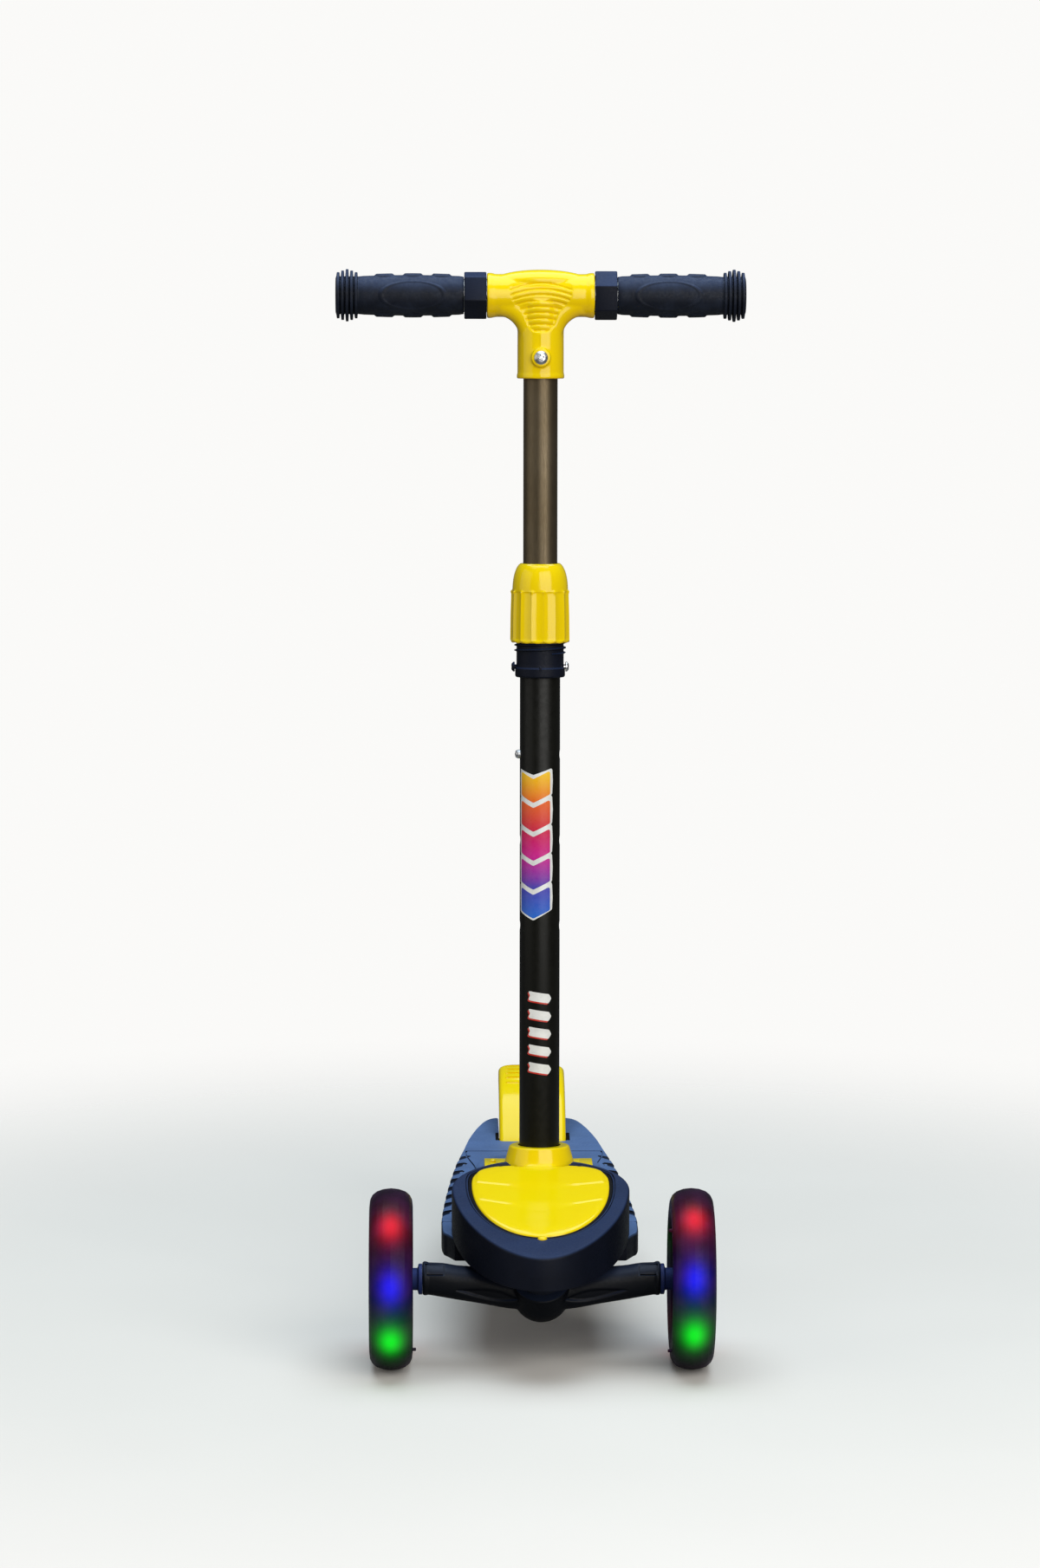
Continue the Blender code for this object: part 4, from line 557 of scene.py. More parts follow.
def plated(name, colour, rough):
    """Plated steel with fine brushing and a few duller spots."""
    look = Look(name, colour, rough, 1.0)
    brushing = look.noise(900, 4, 0.6)
    look.colour(look.mix(look.span(look.noise(140, 3), 0.55, 0.75), colour, times(colour, 0.72)))
    look.roughness(brushing, 0.3, 0.7, rough * 0.75, rough * 1.4)
    look.relief(brushing, 0.00001, 0.4)
    return look


def soft_white_light():
    look = Look("frosted_light_guide", (0.55, 0.55, 0.60), 0.35, Transmission_Weight=0.25)
    look.roughness(look.noise(600), 0.3, 0.7, 0.28, 0.45)
    return look


def dark_tyre():
    """The rear wheel's smoky tyre, without lamps."""
    look = Look("smoky_tyre", (0.014, 0.010, 0.016), 0.34, Specular_IOR_Level=0.35)
    cloud = look.span(look.noise(60, 3), 0.3, 0.7)
    look.colour(look.mix(cloud, (0.010, 0.008, 0.013), (0.022, 0.014, 0.024)))
    look.roughness(look.noise(500, 4), 0.35, 0.75, 0.18, 0.36)
    look.relief(look.noise(300, 2), 0.00006, 0.3)
    return look


YELLOW = glossy_yellow()
# The second colour of each grained plastic is its painted sheen on up-facing faces.
NAVY = grained("navy_plastic", (0.0030, 0.0042, 0.0095), (0.0125, 0.0250, 0.0720), 1500, 0.5)
BEAM_BLACK = grained("grainy_black_plastic", (0.0020, 0.0026, 0.0045), (0.0120, 0.0175, 0.0360), 900, 0.42)
BOARD_NAVY = grained("board_plastic", (0.0095, 0.0115, 0.0185), (0.080, 0.145, 0.310), 1300, 0.5)
CORE_BLACK = grained("wheel_core_plastic", (0.010, 0.010, 0.013), (0.014, 0.014, 0.018), 1100, 0.38)
SPACER_BLUE = grained("spacer_plastic", (0.010, 0.018, 0.075), (0.020, 0.036, 0.140), 1400, 0.4)
# Near-black plastic for sheets laid where gaps and notches fall in shade: painted shadow.
GAP_SHADOW_BLACK = grained("painted_gap_shadow", (0.0006, 0.0007, 0.0010), (0.0012, 0.0016, 0.0028), 1500, 0.6)
RUBBER = rubber()
TUBE_BLACK = painted_tube()
TUBE_METAL = column_metal()
CHROME = plated("chrome", (0.80, 0.80, 0.80), 0.10)
ZINC = plated("zinc_steel", (0.55, 0.56, 0.58), 0.30)
SPRING = plated("spring_steel", (0.32, 0.32, 0.34), 0.30)
LIGHT_GUIDE = soft_white_light()
DARK_TYRE = dark_tyre()


def lit_tyre(name, centre_x, first):
    """Smoky tyre with a red, a blue and a green lamp glowing inside it on each half of its turn."""
    look = Look(name, (0.020, 0.008, 0.024), 0.36, Specular_IOR_Level=0.07)
    x, y, z = look.axes()
    across = look.maths("SUBTRACT", x, centre_x)
    forward = look.maths("SUBTRACT", AXLE_Y, y)
    up = look.maths("SUBTRACT", z, WHEEL_RADIUS / 1000)
    angle = look.maths("MULTIPLY", look.maths("ARCTAN2", up, forward), 180 / pi)
    turn = look.maths("FLOORED_MODULO", look.maths("SUBTRACT", 400.0 + first, angle), 180.0)
    radius = look.length(up, forward)

    def hill(value, width):
        scaled = look.maths("DIVIDE", value, width)
        return look.maths("EXPONENT", look.maths("MULTIPLY", look.maths("MULTIPLY", scaled, scaled), -1.0))

    depth = hill(look.maths("SUBTRACT", radius, 0.057), 0.012)
    core_across = hill(across, 0.0068)
    haze_across = hill(across, 0.0125)
    glow = (0.0, 0.0, 0.0)
    lamps = ((40.0, (0.76, 0.006, 0.014)), (80.6, (0.002, 0.007, 0.84)), (118.1, (0.001, 0.84, 0.012)))
    for middle, tint in lamps:
        away = look.maths("SUBTRACT", turn, middle)
        core = look.maths("MULTIPLY", hill(away, 9.5), core_across)
        haze = look.maths("MULTIPLY", look.maths("MULTIPLY", hill(away, 19.0), haze_across), 0.10)
        share = look.maths("MULTIPLY", look.maths("ADD", core, haze), depth)
        glow = look.mix(1.0, glow, look.mix(look.maths("MINIMUM", share, 1.0), (0, 0, 0), tint), "ADD")
    look.feed(look.shader.inputs["Emission Color"], glow)
    look.shader.inputs["Emission Strength"].default_value = 1.0
    cloud = look.span(look.noise(60, 3), 0.3, 0.7)
    look.colour(look.mix(cloud, (0.008, 0.004, 0.012), (0.026, 0.008, 0.030)))
    look.roughness(look.noise(500, 4), 0.35, 0.75, 0.30, 0.46)
    look.relief(look.noise(300, 2), 0.00006, 0.3)
    return look


# Handlebar

RECESS = (
    (-24.9, 0.0), (-24.2, 4.5), (-22.6, 7.4), (-21.0, 8.6), (-18.0, 9.8), (-13.8, 11.0), (-10.6, 12.6),
    (-8.2, 15.0), (-5.0, 18.4), (0.0, 20.5), (5.3, 21.1), (9.5, 19.6), (12.7, 16.2), (14.5, 12.0),
)


def recess_half(height):
    for (low, a), (high, b) in zip(RECESS, RECESS[1:]):
        if low <= height <= high:
            return a + (b - a) * (height - low) / (high - low)
    return -3.0


def tee():
    """The T-piece with its shield of curved ribs, soft inner corners and end lips."""
    half, arm, sleeve, fillet = 35.9, 14.3, 15.45, 15.5
    lip = [
        (0, -half), (arm + 0.5, -half), (arm + 0.75, 0.7 - half), (arm + 0.7, 3.2 - half), (arm, 5.6 - half),
    ]
    arms = moved(spun(eased([*lip, *upended(lip)], 0.5, 3)), to_side())
    collar = sleeve + 0.4
    barrel = [(0, -55.2), (collar, -55.2), (collar, -52.8), (sleeve, -51.6), (sleeve, -3), (0, -3)]
    under = arc(sleeve - 1.4 + fillet, -arm + 1.0 - fillet, fillet, 180, -90, 12)
    web = drawn([*under, (29.5, 6), (-29.5, 6), *mirrored(under)], -12.6, 12.6, 8.0, 6)
    crown = ball((0, 0, 8.9), (33, 12.4, 8.3), 64)
    screw = shift(0, 0, TEE_SCREW_HEIGHT - BAR_HEIGHT) @ TO_FRONT
    boss = moved(spun(eased([(0, 8), (6.9, 8), (6.35, 17.95), (0, 17.95)], 0.9, 4), 64), screw)
    ridge = block((-0.55, -15.9, -34.0), (0.55, -12.0, -23.0), 0.3)
    shape = melted([arms, spun(eased(barrel, 0.4, 3)), moved(web, TO_FRONT), crown, boss, ridge], 0.48, 5)
    corners = [v for v in shape.verts if 10.5 < abs(v.co.x) < 34 and -33 < v.co.z < -6]
    softened(shape, corners, 16)

    def ribbed(point):
        if point.y > -2.0:
            return 0.0
        inside = rise(recess_half(point.z) - abs(point.x), -0.4, 1.2) * (1 - rise(point.z, 9.0, 14.0))
        if inside <= 0:
            return 0.0
        pitch = 3.93
        line = (8.4 - point.z - point.x**2 / 92) / pitch
        if line < -0.12:
            return -0.45 * inside * rise(line, -1.2, -0.12)
        share = line - floor(line)
        groove = 0.5 + 0.5 * cos(pi * min(1.0, min(share, 1 - share) * pitch / 1.05))
        scoop = 0.45 + 0.5 * rise(-point.z, 6, 20)
        return inside * (-0.85 * groove - scoop + 0.5 * (1 - share) * (1 - groove))

    shape = pushed(shape, ribbed)
    front = [v for v in shape.verts if v.co.y < -6 and -28 < v.co.z < 13 and abs(v.co.x) < 26]
    softened(shape, front, 1, 0.4)
    shape = carved(
        shape,
        moved(rod(BAR_BORE, -40, 40), to_side()),
        rod(11.75, -60, -13.1),
        moved(rod(2.6, 5, 30, 32), screw),
    )
    piece("tee_moulding", shape, BAR, YELLOW, "mast", ["tee"], "yellow_plastic", 60)


def cross_screw(name, place, look, body, node, slot, seat, shank, tip, radius=4.6):
    """A pan-head screw with a cross recess."""
    dome = [(radius, seat), (radius - 0.15, seat + 1.1), (radius * 0.6, seat + 2.15), (0, seat + 2.4)]
    shape = spun([(0, tip), (shank, tip), *eased([(shank, seat), *dome], 0.5, 4)], 64)
    arms = []
    for angle in (0.3, 0.3 + pi / 2):
        arm = lofted([
            [(x * long, y * thick, seat + up) for x, y in ((-1, -1), (1, -1), (1, 1), (-1, 1))]
            for long, thick, up in ((3.1, 0.65, 3.4), (1.3, 0.4, 0.5))
        ])
        arms.append(moved(arm, turned(angle, "Z")))
    piece(name, carved(shape, *arms), place, look, body, [node], slot)


def bar_collar(side_name, side):
    """The six-sided collar, with chamfered rims and a thin seam against the tee."""
    low, high = 36.2, 51.0
    hexagon = polygon(6, 16.6, turn=radians(18 if side < 0 else 8))
    seam = [(13.6, low - 0.2), (14.6, low - 0.2), (14.6, low + 0.6), (13.6, low + 0.6)]
    shape = drawn(eased(hexagon, 1.4, 4, True), low, high, 0.75)
    shape = carved(shape, rod(BAR_BORE, low - 5, high + 5), spun(seam, 64, True))
    piece(
        f"{side_name}_six_sided_collar", shape, BAR @ to_side(side), NAVY, "mast",
        [f"{side_name}_bar_collar"], "navy_plastic",
    )


def grip(side_name, side):
    """The rubber grip: a raised oval front and back, three pads above and below, and five thin end ribs."""
    start, ribs, end, waist = 51.3, 121.9, 136.9, 13.4
    body = [(12.9, start + 3), (waist, 70), (13.6, 86), (waist, 102), (12.9, ribs - 4), (12.5, ribs - 0.2)]
    profile = eased([(BAR_BORE, start), (12.4, start, 0.4), body[0]], 0.5, 3)[:-1]
    profile += [*subdivided(body, 0.7), body[-1]]
    pitch = (end - ribs) / 5
    for i in range(5):
        low = ribs + pitch * i
        crest = 17.4 - 0.95 * abs(i - 2) ** 1.1
        profile += eased([
            (12.6, low + 0.1), (crest, low + 0.30, 0.35),
            (crest, low + pitch - 0.95, 0.35), (12.6, low + pitch - 0.55),
        ], 0.2, 3)
    cap = [(12.6, end - 0.5), (11.4, end - 0.1), (3.4, end), (3.4, 134.8), (BAR_BORE, 134.8)]
    profile += eased(cap, 0.5, 3)

    def relief(point):
        if hypot(point.x, point.y) < 12 or not start + 3 < point.z < ribs - 1:
            return 0.0
        # The column's Z is -X * side here, so the angle is 0 at the grip's front and pi / 2 on its top.
        angle = atan2(-side * point.x, -point.y)

        def away(centre):
            """Distance round the grip from an angle."""
            return ((angle - centre + pi) % (2 * pi) - pi) * waist

        height = 0.0
        for centre in (0.0, pi):
            reach = hypot(away(centre) / 10.2, (point.z - 85.3) / 21.7)
            height += 0.42 * bump(reach, 0.97, 0.030, 0.055) + 0.16 * (1 - rise(reach, 0.86, 0.99))
        for centre in (pi / 2, -pi / 2):
            for middle in (66.2, 85.2, 104.3):
                reach = (abs(away(centre) / 6.2) ** 2.6 + abs((point.z - middle) / 6.5) ** 2.6) ** (1 / 2.6)
                height += 1.15 * (1 - rise(reach, 0.80, 1.06))
        return height

    shape = pushed(spun(profile, 160, True), relief)
    piece(
        f"{side_name}_rubber_grip", shape, BAR @ to_side(side), RUBBER, "mast",
        [f"{side_name}_grip"], "grip_rubber", 50,
    )


def hollow_tube(outer, inner, low, high):
    return spun(eased([(outer, low), (outer, high), (inner, high), (inner, low)], 0.3, 2, True), 112, True)


def cross_hole(radius, height, start, end, axis="Y", side=1):
    return moved(rod(radius, start, end, 40), shift(0, 0, height) @ turned(side * pi / 2, axis))


def upper_column():
    shape = hollow_tube(11.45, 10.25, 256, 580)
    pin_hole = cross_hole(3.3, SNAP_HEIGHT, 5, 20, side=-1)
    screw_hole = cross_hole(2.6, TEE_SCREW_HEIGHT, 5, 30, "X")
    shape = carved(shape, pin_hole, screw_hole)
    piece("upper_column_tube", shape, COLUMN, TUBE_METAL, "mast", ["upper_tube"], "gunmetal_tube")


def snap_button():
    tip = 16.9
    outline = [(0, 7), (4, 7), (4, 8.6), (3, 8.6), (3, tip - 2.2), (2.3, tip - 0.6), (0, tip)]
    shape = spun(eased(outline, 0.6, 4), 48)
    place = COLUMN @ shift(0, 0, SNAP_HEIGHT) @ to_side(-1)
    piece("sprung_height_pin", shape, place, ZINC, "snap_pin", ["snap_button"], "zinc_steel")


# Clamp

def clamp_nut():
    """The yellow nut: fifteen hollow flutes with a knuckle on top of each ridge, below a smooth dome."""
    ridge, flutes = 20.05, 15
    dome = [(18.6, 397.4), (18.4, 401.2), (17.8, 405.6), (16.6, 409.9), (14.9, 413.2), (13.3, 414.7)]
    path = eased([
        (17.8, 361.8, 0.4), (19.3, 361.8, 0.9), (ridge, 363.2, 0.5), (ridge - 0.2, 380),
        (ridge - 0.7, 396.2, 1.0), *[(*point, 0) for point in smooth_through(dome, 7)],
        (11.95, 414.7, 0.3), (11.95, 396.1), (15.0, 396.1), (16.6, 385.6), (17.8, 383.0),
    ], 2.0, 5, True)
    shape = spun(subdivided([*path, path[0]], 0.8), flutes * 14, True)
    for vert in shape.verts:
        radius = hypot(vert.co.x, vert.co.y)
        if radius < 17.9:
            continue
        angle = atan2(vert.co.y, vert.co.x) + pi / flutes
        share = (angle * flutes / (2 * pi)) % 1.0
        hollow = sin(pi * share) ** 0.8
        body = rise(vert.co.z, 362.2, 364.5) * (1 - rise(vert.co.z, 395.4, 397.6))
        knuckle = exp(-((vert.co.z - 396.0) / 1.1) ** 2) * exp(-((min(share, 1 - share)) / 0.085) ** 2)
        set_radius(vert, radius + knuckle * 0.55 - body * 1.05 * hollow)
        if vert.co.z < 364:
            vert.co.z += 0.75 * (1 - hollow) * (1 - rise(vert.co.z, 362.2, 364))
    piece("fluted_clamp_nut", cleaned(shape), COLUMN, YELLOW, "nut", ["clamp_nut"], "yellow_plastic", 40)


def clamp_collar():
    """The threaded sleeve: a ridge wound round it, a slit at the back, a small key in front and a flange."""
    core = [
        (13.8, 338.6, 0.3), (16.2, 338.6, 0.6), (16.75, 339.6, 0.5), (16.75, 344.4, 0.5), (16.1, 345.5, 0.4),
        (15.85, 347.5), (15.8, 383.2), (15.2, 384.0, 0.3), (11.75, 384.0), (11.75, 378.3), (13.8, 378.3),
    ]
    thread = bmesh.new()
    corners = [(14.6, -1.35), (17.35, -0.32), (17.35, 0.32), (14.6, 1.35)]
    face = thread.faces.new([thread.verts.new((r, 0, 354.2 + z)) for r, z in corners])
    moved(thread, turned(radians(-62), "Z"))
    turns, pitch, steps = 3.3, 3.5, 240
    bmesh.ops.spin(
        thread, geom=[face], cent=(0, 0, 0), axis=(0, 0, 1), dvec=(0, 0, pitch * turns / steps),
        angle=2 * pi * turns, steps=steps, use_duplicate=False,
    )
    cleaned(thread, 1e-4)
    for vert in thread.verts:
        radius = hypot(vert.co.x, vert.co.y)
        if radius > 15:
            set_radius(vert, 15.3 + (radius - 15.3) * rise(vert.co.z, 353.3, 355.3))
    shape = carved(
        joined(spun(eased(core, 0.3, 3, True), 96, True), thread),
        block((-0.45, 0, 349.5), (0.45, 30, 390)),
        cross_hole(1.9, COLLAR_SCREW_HEIGHT, 5, 30),
        cross_hole(1.9, COLLAR_SCREW_HEIGHT, 5, 30, side=-1),
    )
    shape = joined(shape, block((-0.7, -16.95, 343.4), (0.7, -15.2, 346.2), 0.25))
    piece("threaded_clamp_collar", shape, COLUMN, NAVY, "deck", ["clamp_collar"], "navy_plastic", 40)


def collar_screws():
    for side_name, side in SIDES:
        place = COLUMN @ shift(0, 0, COLLAR_SCREW_HEIGHT) @ to_side(side)
        # Painted shade: both screws are the same steel, but the right one is given the dark navy plastic to
        # stand in for its darker reflection.
        look, slot = (CHROME, "chrome") if side > 0 else (NAVY, "navy_plastic")
        cross_screw(
            f"{side_name}_clamp_screw", place, look, "deck", f"{side_name}_collar_screw", slot,
            17.0, 1.6, 12.4, 3.4,
        )


# Lower column and its stickers

def lower_column():
    shape = hollow_tube(LOWER_TUBE, 12.2, -39.5, 378)
    holes = [cross_hole(3.3, SNAP_HEIGHT - HOLE_PITCH * i, -30, 30) for i in range(3)]
    notch = moved(block((-4.3, 4.0, -6.8), (4.3, 52, -1.5)), turned(RAKE, "X"))
    shape = carved(shape, *holes, cross_hole(1.9, COLLAR_SCREW_HEIGHT, -30, 30), notch)
    piece("lower_column_tube", shape, COLUMN, TUBE_BLACK, "deck", ["lower_tube"], "black_tube")


def wrapped(outline, turn, radius, thick):
    """A sticker's outline, in millimetres round and up the tube, laid on the tube's front as a thin skin."""
    shape = bmesh.new()
    face = shape.faces.new([shape.verts.new((x, z, 0)) for x, z in outline])
    if face.normal.z < 0:
        face.normal_flip()
    low, high = min(x for x, _ in outline), max(x for x, _ in outline)
    cut_x = floor(low)
    while cut_x < high:
        everything = shape.verts[:] + shape.edges[:] + shape.faces[:]
        bmesh.ops.bisect_plane(shape, geom=everything, plane_co=(cut_x, 0, 0), plane_no=(1, 0, 0))
        cut_x += 0.9
    made = bmesh.ops.extrude_face_region(shape, geom=shape.faces[:], use_keep_orig=True)
    lifted = [v for v in made["geom"] if isinstance(v, bmesh.types.BMVert)]
    bmesh.ops.translate(shape, verts=lifted, vec=(0, 0, thick))
    for vert in shape.verts:
        angle = vert.co.x / radius + turn
        reach = radius + vert.co.z
        vert.co = Vector((reach * sin(angle), -reach * cos(angle), vert.co.y))
    bmesh.ops.recalc_face_normals(shape, faces=shape.faces)
    return shape


def sticker_look():
    """Printed vinyl, running from yellow at the top through red and magenta to blue."""
    look = Look("rainbow_vinyl", (0.8, 0.5, 0.0), 0.36, Specular_IOR_Level=0.2)
    z = look.axes()[2]
    ramp = look.node("ShaderNodeValToRGB", {"Fac": look.span(z, 0.286, 0.388, smooth=False)})
    stops = (
        (0.0, (0.003, 0.14, 0.62)), (0.22, (0.060, 0.045, 0.42)), (0.42, (0.60, 0.0, 0.26)),
        (0.60, (0.62, 0.006, 0.045)), (0.78, (0.80, 0.12, 0.002)), (1.0, (0.95, 0.62, 0.0)),
    )
    while len(ramp.color_ramp.elements) < len(stops):
        ramp.color_ramp.elements.new(0.5)
    for element, (position, tint) in zip(ramp.color_ramp.elements, stops):
        element.position = position
        element.color = (*tint, 1.0)
    dust = look.maths("MULTIPLY", look.noise(300, 3), 0.05)
    look.colour(look.mix(dust, ramp.outputs["Color"], (0.9, 0.9, 0.85)))
    look.roughness(look.noise(700), 0.3, 0.7, 0.26, 0.40)
    look.relief(look.noise(500), 0.00003, 0.3)
    return look


def vinyl(name, colour):
    look = Look(name, colour, 0.32, Coat_Weight=0.3, Coat_Roughness=0.15)
    look.colour(look.mix(look.span(look.noise(140, 4), 0.35, 0.75), colour, times(colour, 0.86)))
    look.roughness(look.noise(700), 0.3, 0.7, 0.26, 0.42)
    look.relief(look.noise(500), 0.00003, 0.3)
    return look


def stickers():
    """Plain chevrons and bars of generic shape, in the colours of printed vinyl."""
    white = vinyl("white_vinyl", (0.82, 0.82, 0.80))
    red = vinyl("red_vinyl", (0.60, 0.03, 0.015))
    rainbow = sticker_look()
    count, pitch, top, turn = 5, 19.5, 277.4, -0.12
    left, right = [], []
    for i in range(count):
        high = top - pitch * i
        left += [(-15.2, high), (-15.6, high - 8), (-15.2, high - pitch + 1.4), (-14.2, high - pitch + 0.7)]
        right += [(10.2, high + 0.8), (10.7, high - 8), (10.2, high - pitch + 3.0), (9.2, high - pitch + 1.9)]
    border = [(-3, top - 3.9), *right[:-1], (-3, top - pitch * count - 4.4), *reversed(left[:-1])]
    borders = [wrapped(eased(border, 1.4, 3, True), turn, LOWER_TUBE, 0.10)]
    fills, strips, shadows = [], [], []
    for i in range(count):
        high = top - 1.6 - pitch * i
        chevron = [
            (-13.6, high), (-3, high - 5.0), (8.6, high + 0.8),
            (8.6, high - 15.2), (-3, high - 21), (-13.6, high - 16),
        ]
        fills.append(wrapped(eased(chevron, 1.6, 4, True), turn, LOWER_TUBE + 0.1, 0.08))
        low = 71.5 + 12 * i
        bar = [
            (-8.4, low + 2.2), (6.0, low), (8.2, low + 3.2),
            (6.4, low + 6.2), (-8.4, low + 8.4), (-6.8, low + 5.2),
        ]
        shade = [(x - 0.9, z - 0.9) for x, z in bar]
        strips.append(wrapped(eased(bar, 1.2, 3, True), 0.0, LOWER_TUBE + 0.08, 0.08))
        shadows.append(wrapped(eased(shade, 1.2, 3, True), 0.0, LOWER_TUBE, 0.07))
    for name, shapes, look in (
        ("chevron_sticker_border", borders, white), ("chevron_sticker", fills, rainbow),
        ("bar_sticker_edge", shadows, red), ("bar_sticker", strips, white),
    ):
        piece(name, gathered(shapes), COLUMN, look, "deck", slot="black_tube")


# Nose

NOSE_SLOPE = tan(radians(16))
NOSE_HALF, NOSE_CENTRE, NOSE_FRONT, NOSE_REAR = 59.3, 34, 91.6, 39
NOSE_TIP = NOSE_CENTRE - NOSE_FRONT
COVER_HALF, COVER_CENTRE, COVER_FRONT = 46, 38, 67.5


def oval(half, centre, front, rear, front_shape, rear_shape, count=168):
    """Points round an oval whose front and rear halves have their own length and squareness."""
    points = []
    for i in range(count):
        angle = 2 * pi * (i + 0.5) / count
        across, along = cos(angle), sin(angle)
        reach, shape = (front, front_shape) if along < 0 else (rear, rear_shape)
        points.append((half * bent(across, 2 / shape), centre + reach * bent(along, 2 / shape)))
    return points


def nose_outline(inset=0.0):
    """An oval with a blunt tip."""
    half, front = NOSE_HALF - inset, NOSE_FRONT - inset
    points = []
    for x, y in oval(half, NOSE_CENTRE, front, NOSE_REAR - inset, 1.7, 2.0):
        if y < NOSE_CENTRE:
            across, blunt = (x / half) ** 2, 0.05
            size = ((across + blunt) ** 0.85 - blunt**0.85) / ((1 + blunt) ** 0.85 - blunt**0.85)
            y = NOSE_CENTRE - front * max(0.0, 1 - size) ** (1 / 1.7)
        points.append((x, y))
    return points


def cover_outline(inset=0.0):
    return oval(COVER_HALF - inset, COVER_CENTRE, COVER_FRONT - inset, 25 - inset, 2.0, 3.2)


def nose_face(y):
    """Height of the sloping face."""
    return 87.8 + (y - NOSE_TIP) * NOSE_SLOPE


def within_nose(outline, margin):
    """The outline, with what would come closer than the margin to the nose's rim drawn inwards."""
    points = []
    for x, y in outline:
        power, reach = (1.7, NOSE_FRONT) if y < NOSE_CENTRE else (2.0, NOSE_REAR)
        across, along = abs(x) / (NOSE_HALF - margin), abs(y - NOSE_CENTRE) / (reach - margin)
        size = (across**power + along**power) ** (1 / power)
        points.append((x / size, NOSE_CENTRE + (y - NOSE_CENTRE) / size) if size > 1 else (x, y))
    return points


def on_face(outline, drop):
    return [(x, y, nose_face(y) - drop) for x, y in outline]


def skirt_low(y):
    """Height of the skirt's lower edge, which climbs from the tip to the deck."""
    back = y - NOSE_TIP
    return min(82.3, 65.2 + 0.0794 * back + 0.00153 * back**2)


def skirt_edge(outline, lift=0.0):
    """The skirt's lower edge, cut away behind."""
    points = []
    for x, y in outline:
        low = skirt_low(y)
        points.append((x, y, low + (nose_face(y) - 6 - low) * rise(y, 49.5, 54.0) + lift))
    return points


def cleared(shape):
    """The shape, with room for the shield's cone and the column cut out of it."""
    return carved(shape, moved(rod(28.2, -40, 60, 96), RAKED))


def nose_bezel():
    """The dark housing: a sloping face with a stepped groove round the yellow shield, and a deep skirt."""
    rings = [skirt_edge(nose_outline(inset), lift) for inset, lift in ((0.5, 0.0), (0.1, 0.4), (0.0, 1.0))]
    for inset, drop in ((0.0, 2.0), (0.06, 1.45), (0.3, 0.85), (0.65, 0.42), (1.2, 0.12), (1.9, 0.0)):
        rings.append(on_face(nose_outline(inset), drop))
    groove = (
        (-4.4, 0.0), (-4.1, 0.06), (-3.95, 0.3), (-3.85, 1.2), (-3.55, 1.2), (-3.4, 0.35), (-2.75, 0.25),
        (-2.5, 0.4), (-2.35, 0.9), (-2.3, 2.5), (-0.75, 2.55), (-0.7, 3.2),
    )
    for i, (inset, drop) in enumerate(groove):
        rings.append(on_face(within_nose(cover_outline(inset), 2.2 + 0.25 * i), drop))
    rings.append(on_face(nose_outline(2.8), 3.2))
    rings += [skirt_edge(nose_outline(inset), lift) for inset, lift in ((2.8, 0.6), (2.3, 0.0))]
    shape = lofted(rings, True)
    piece("nose_housing", cleared(shape), FLOOR, NAVY, "deck", ["nose_bezel"], "navy_plastic", 30)
    # A near-black ring in the groove round the shield: painted shadow in the gap.
    gap_shadow_profile = ((-2.15, 2.3), (-2.15, 0.8), (-2.0, 0.65), (-0.25, 0.55), (-0.1, 0.7), (-0.1, 2.3))
    shape = lofted([on_face(within_nose(cover_outline(inset), 5.2), drop) for inset, drop in gap_shadow_profile], True)
    piece("shield_gap_painted_shadow", cleared(shape), FLOOR, GAP_SHADOW_BLACK, "deck", slot="navy_plastic", sharp=30)


def crease(line, across):
    """A small step across the shield: 1 behind the line and 0 in front of it, and softer in the middle."""
    soft = 1.0 + 6.0 * (1 - rise(abs(across), 6, 28))
    return rise(line, -soft, soft)


def front_cover():
    """The yellow shield, its two shallow steps, and the cone that stands up round the column."""
    rings = [on_face(cover_outline(0.5), 2.9), on_face(cover_outline(), 2.4)]
    for inset, drop in ((0.0, 0.5), (0.25, 0.05), (0.8, -0.35), (2.0, -0.7), (5.0, -1.0), (10.0, -1.2)):
        rings.append(on_face(cover_outline(inset), drop))
    shield = lofted(rings)
    foot = [(0, -6), (27.6, -6), (26.2, 0), (25.2, 4)]
    rim = [(20.6, 20.4, 0.6), (20.4, 21.6, 0.8), (19.4, 22, 0.5)]
    cone = moved(spun(eased([*foot, *rim, (0, 22)], 1.5, 4), 128), RAKED)
    behind = block((-60, 60.9, 60), (60, 140, 112.1))
    under = drawn([(-70, 40), (70, 40), (70, 61), (-70, 61)], 0, 1)
    for vert in under.verts:
        vert.co.z = nose_face(vert.co.y) - (2.9 if vert.co.z > 0.5 else 60)
    shape = melted([carved(joined(shield, cone), behind, under)], 0.62, 3)

    def from_column(point):
        return hypot(point.x, point.y - COLUMN_FOOT[0])

    near_column = [v for v in shape.verts if from_column(v.co) < 37]
    softened(shape, [v for v in near_column if abs(v.co.z - nose_face(v.co.y) - 1.4) < 3.2], 14)

    def steps(point):
        x, y, z = point
        if z < nose_face(y) - 0.4 or z > nose_face(y) + 2.2 or from_column(point) < 30:
            return 0.0
        edge = 1 - rise(hypot(x / COVER_HALF, (y - COVER_CENTRE) / COVER_FRONT), 0.90, 0.965)
        upper = crease(y - 33 - 0.0033 * x * x, x)
        lower = crease(y - 8 - 0.0055 * x * x, x)
        return edge * (0.42 * upper + 0.36 * lower)

    shape = pushed(shape, steps)
    tab_y = -29.5
    knob = ball((0, tab_y - 2.4, nose_face(tab_y) - 1.2), (3.2, 3.0, 1.9))
    bore = spun([(0, -40), (17.6, -40), (17.6, 17.1), (14.35, 17.1), (14.35, 60), (0, 60)])
    shape = joined(carved(shape, moved(bore, RAKED)), knob)
    piece("front_shield", shape, FLOOR, YELLOW, "deck", ["front_cover"], "yellow_plastic", 40)


# Deck

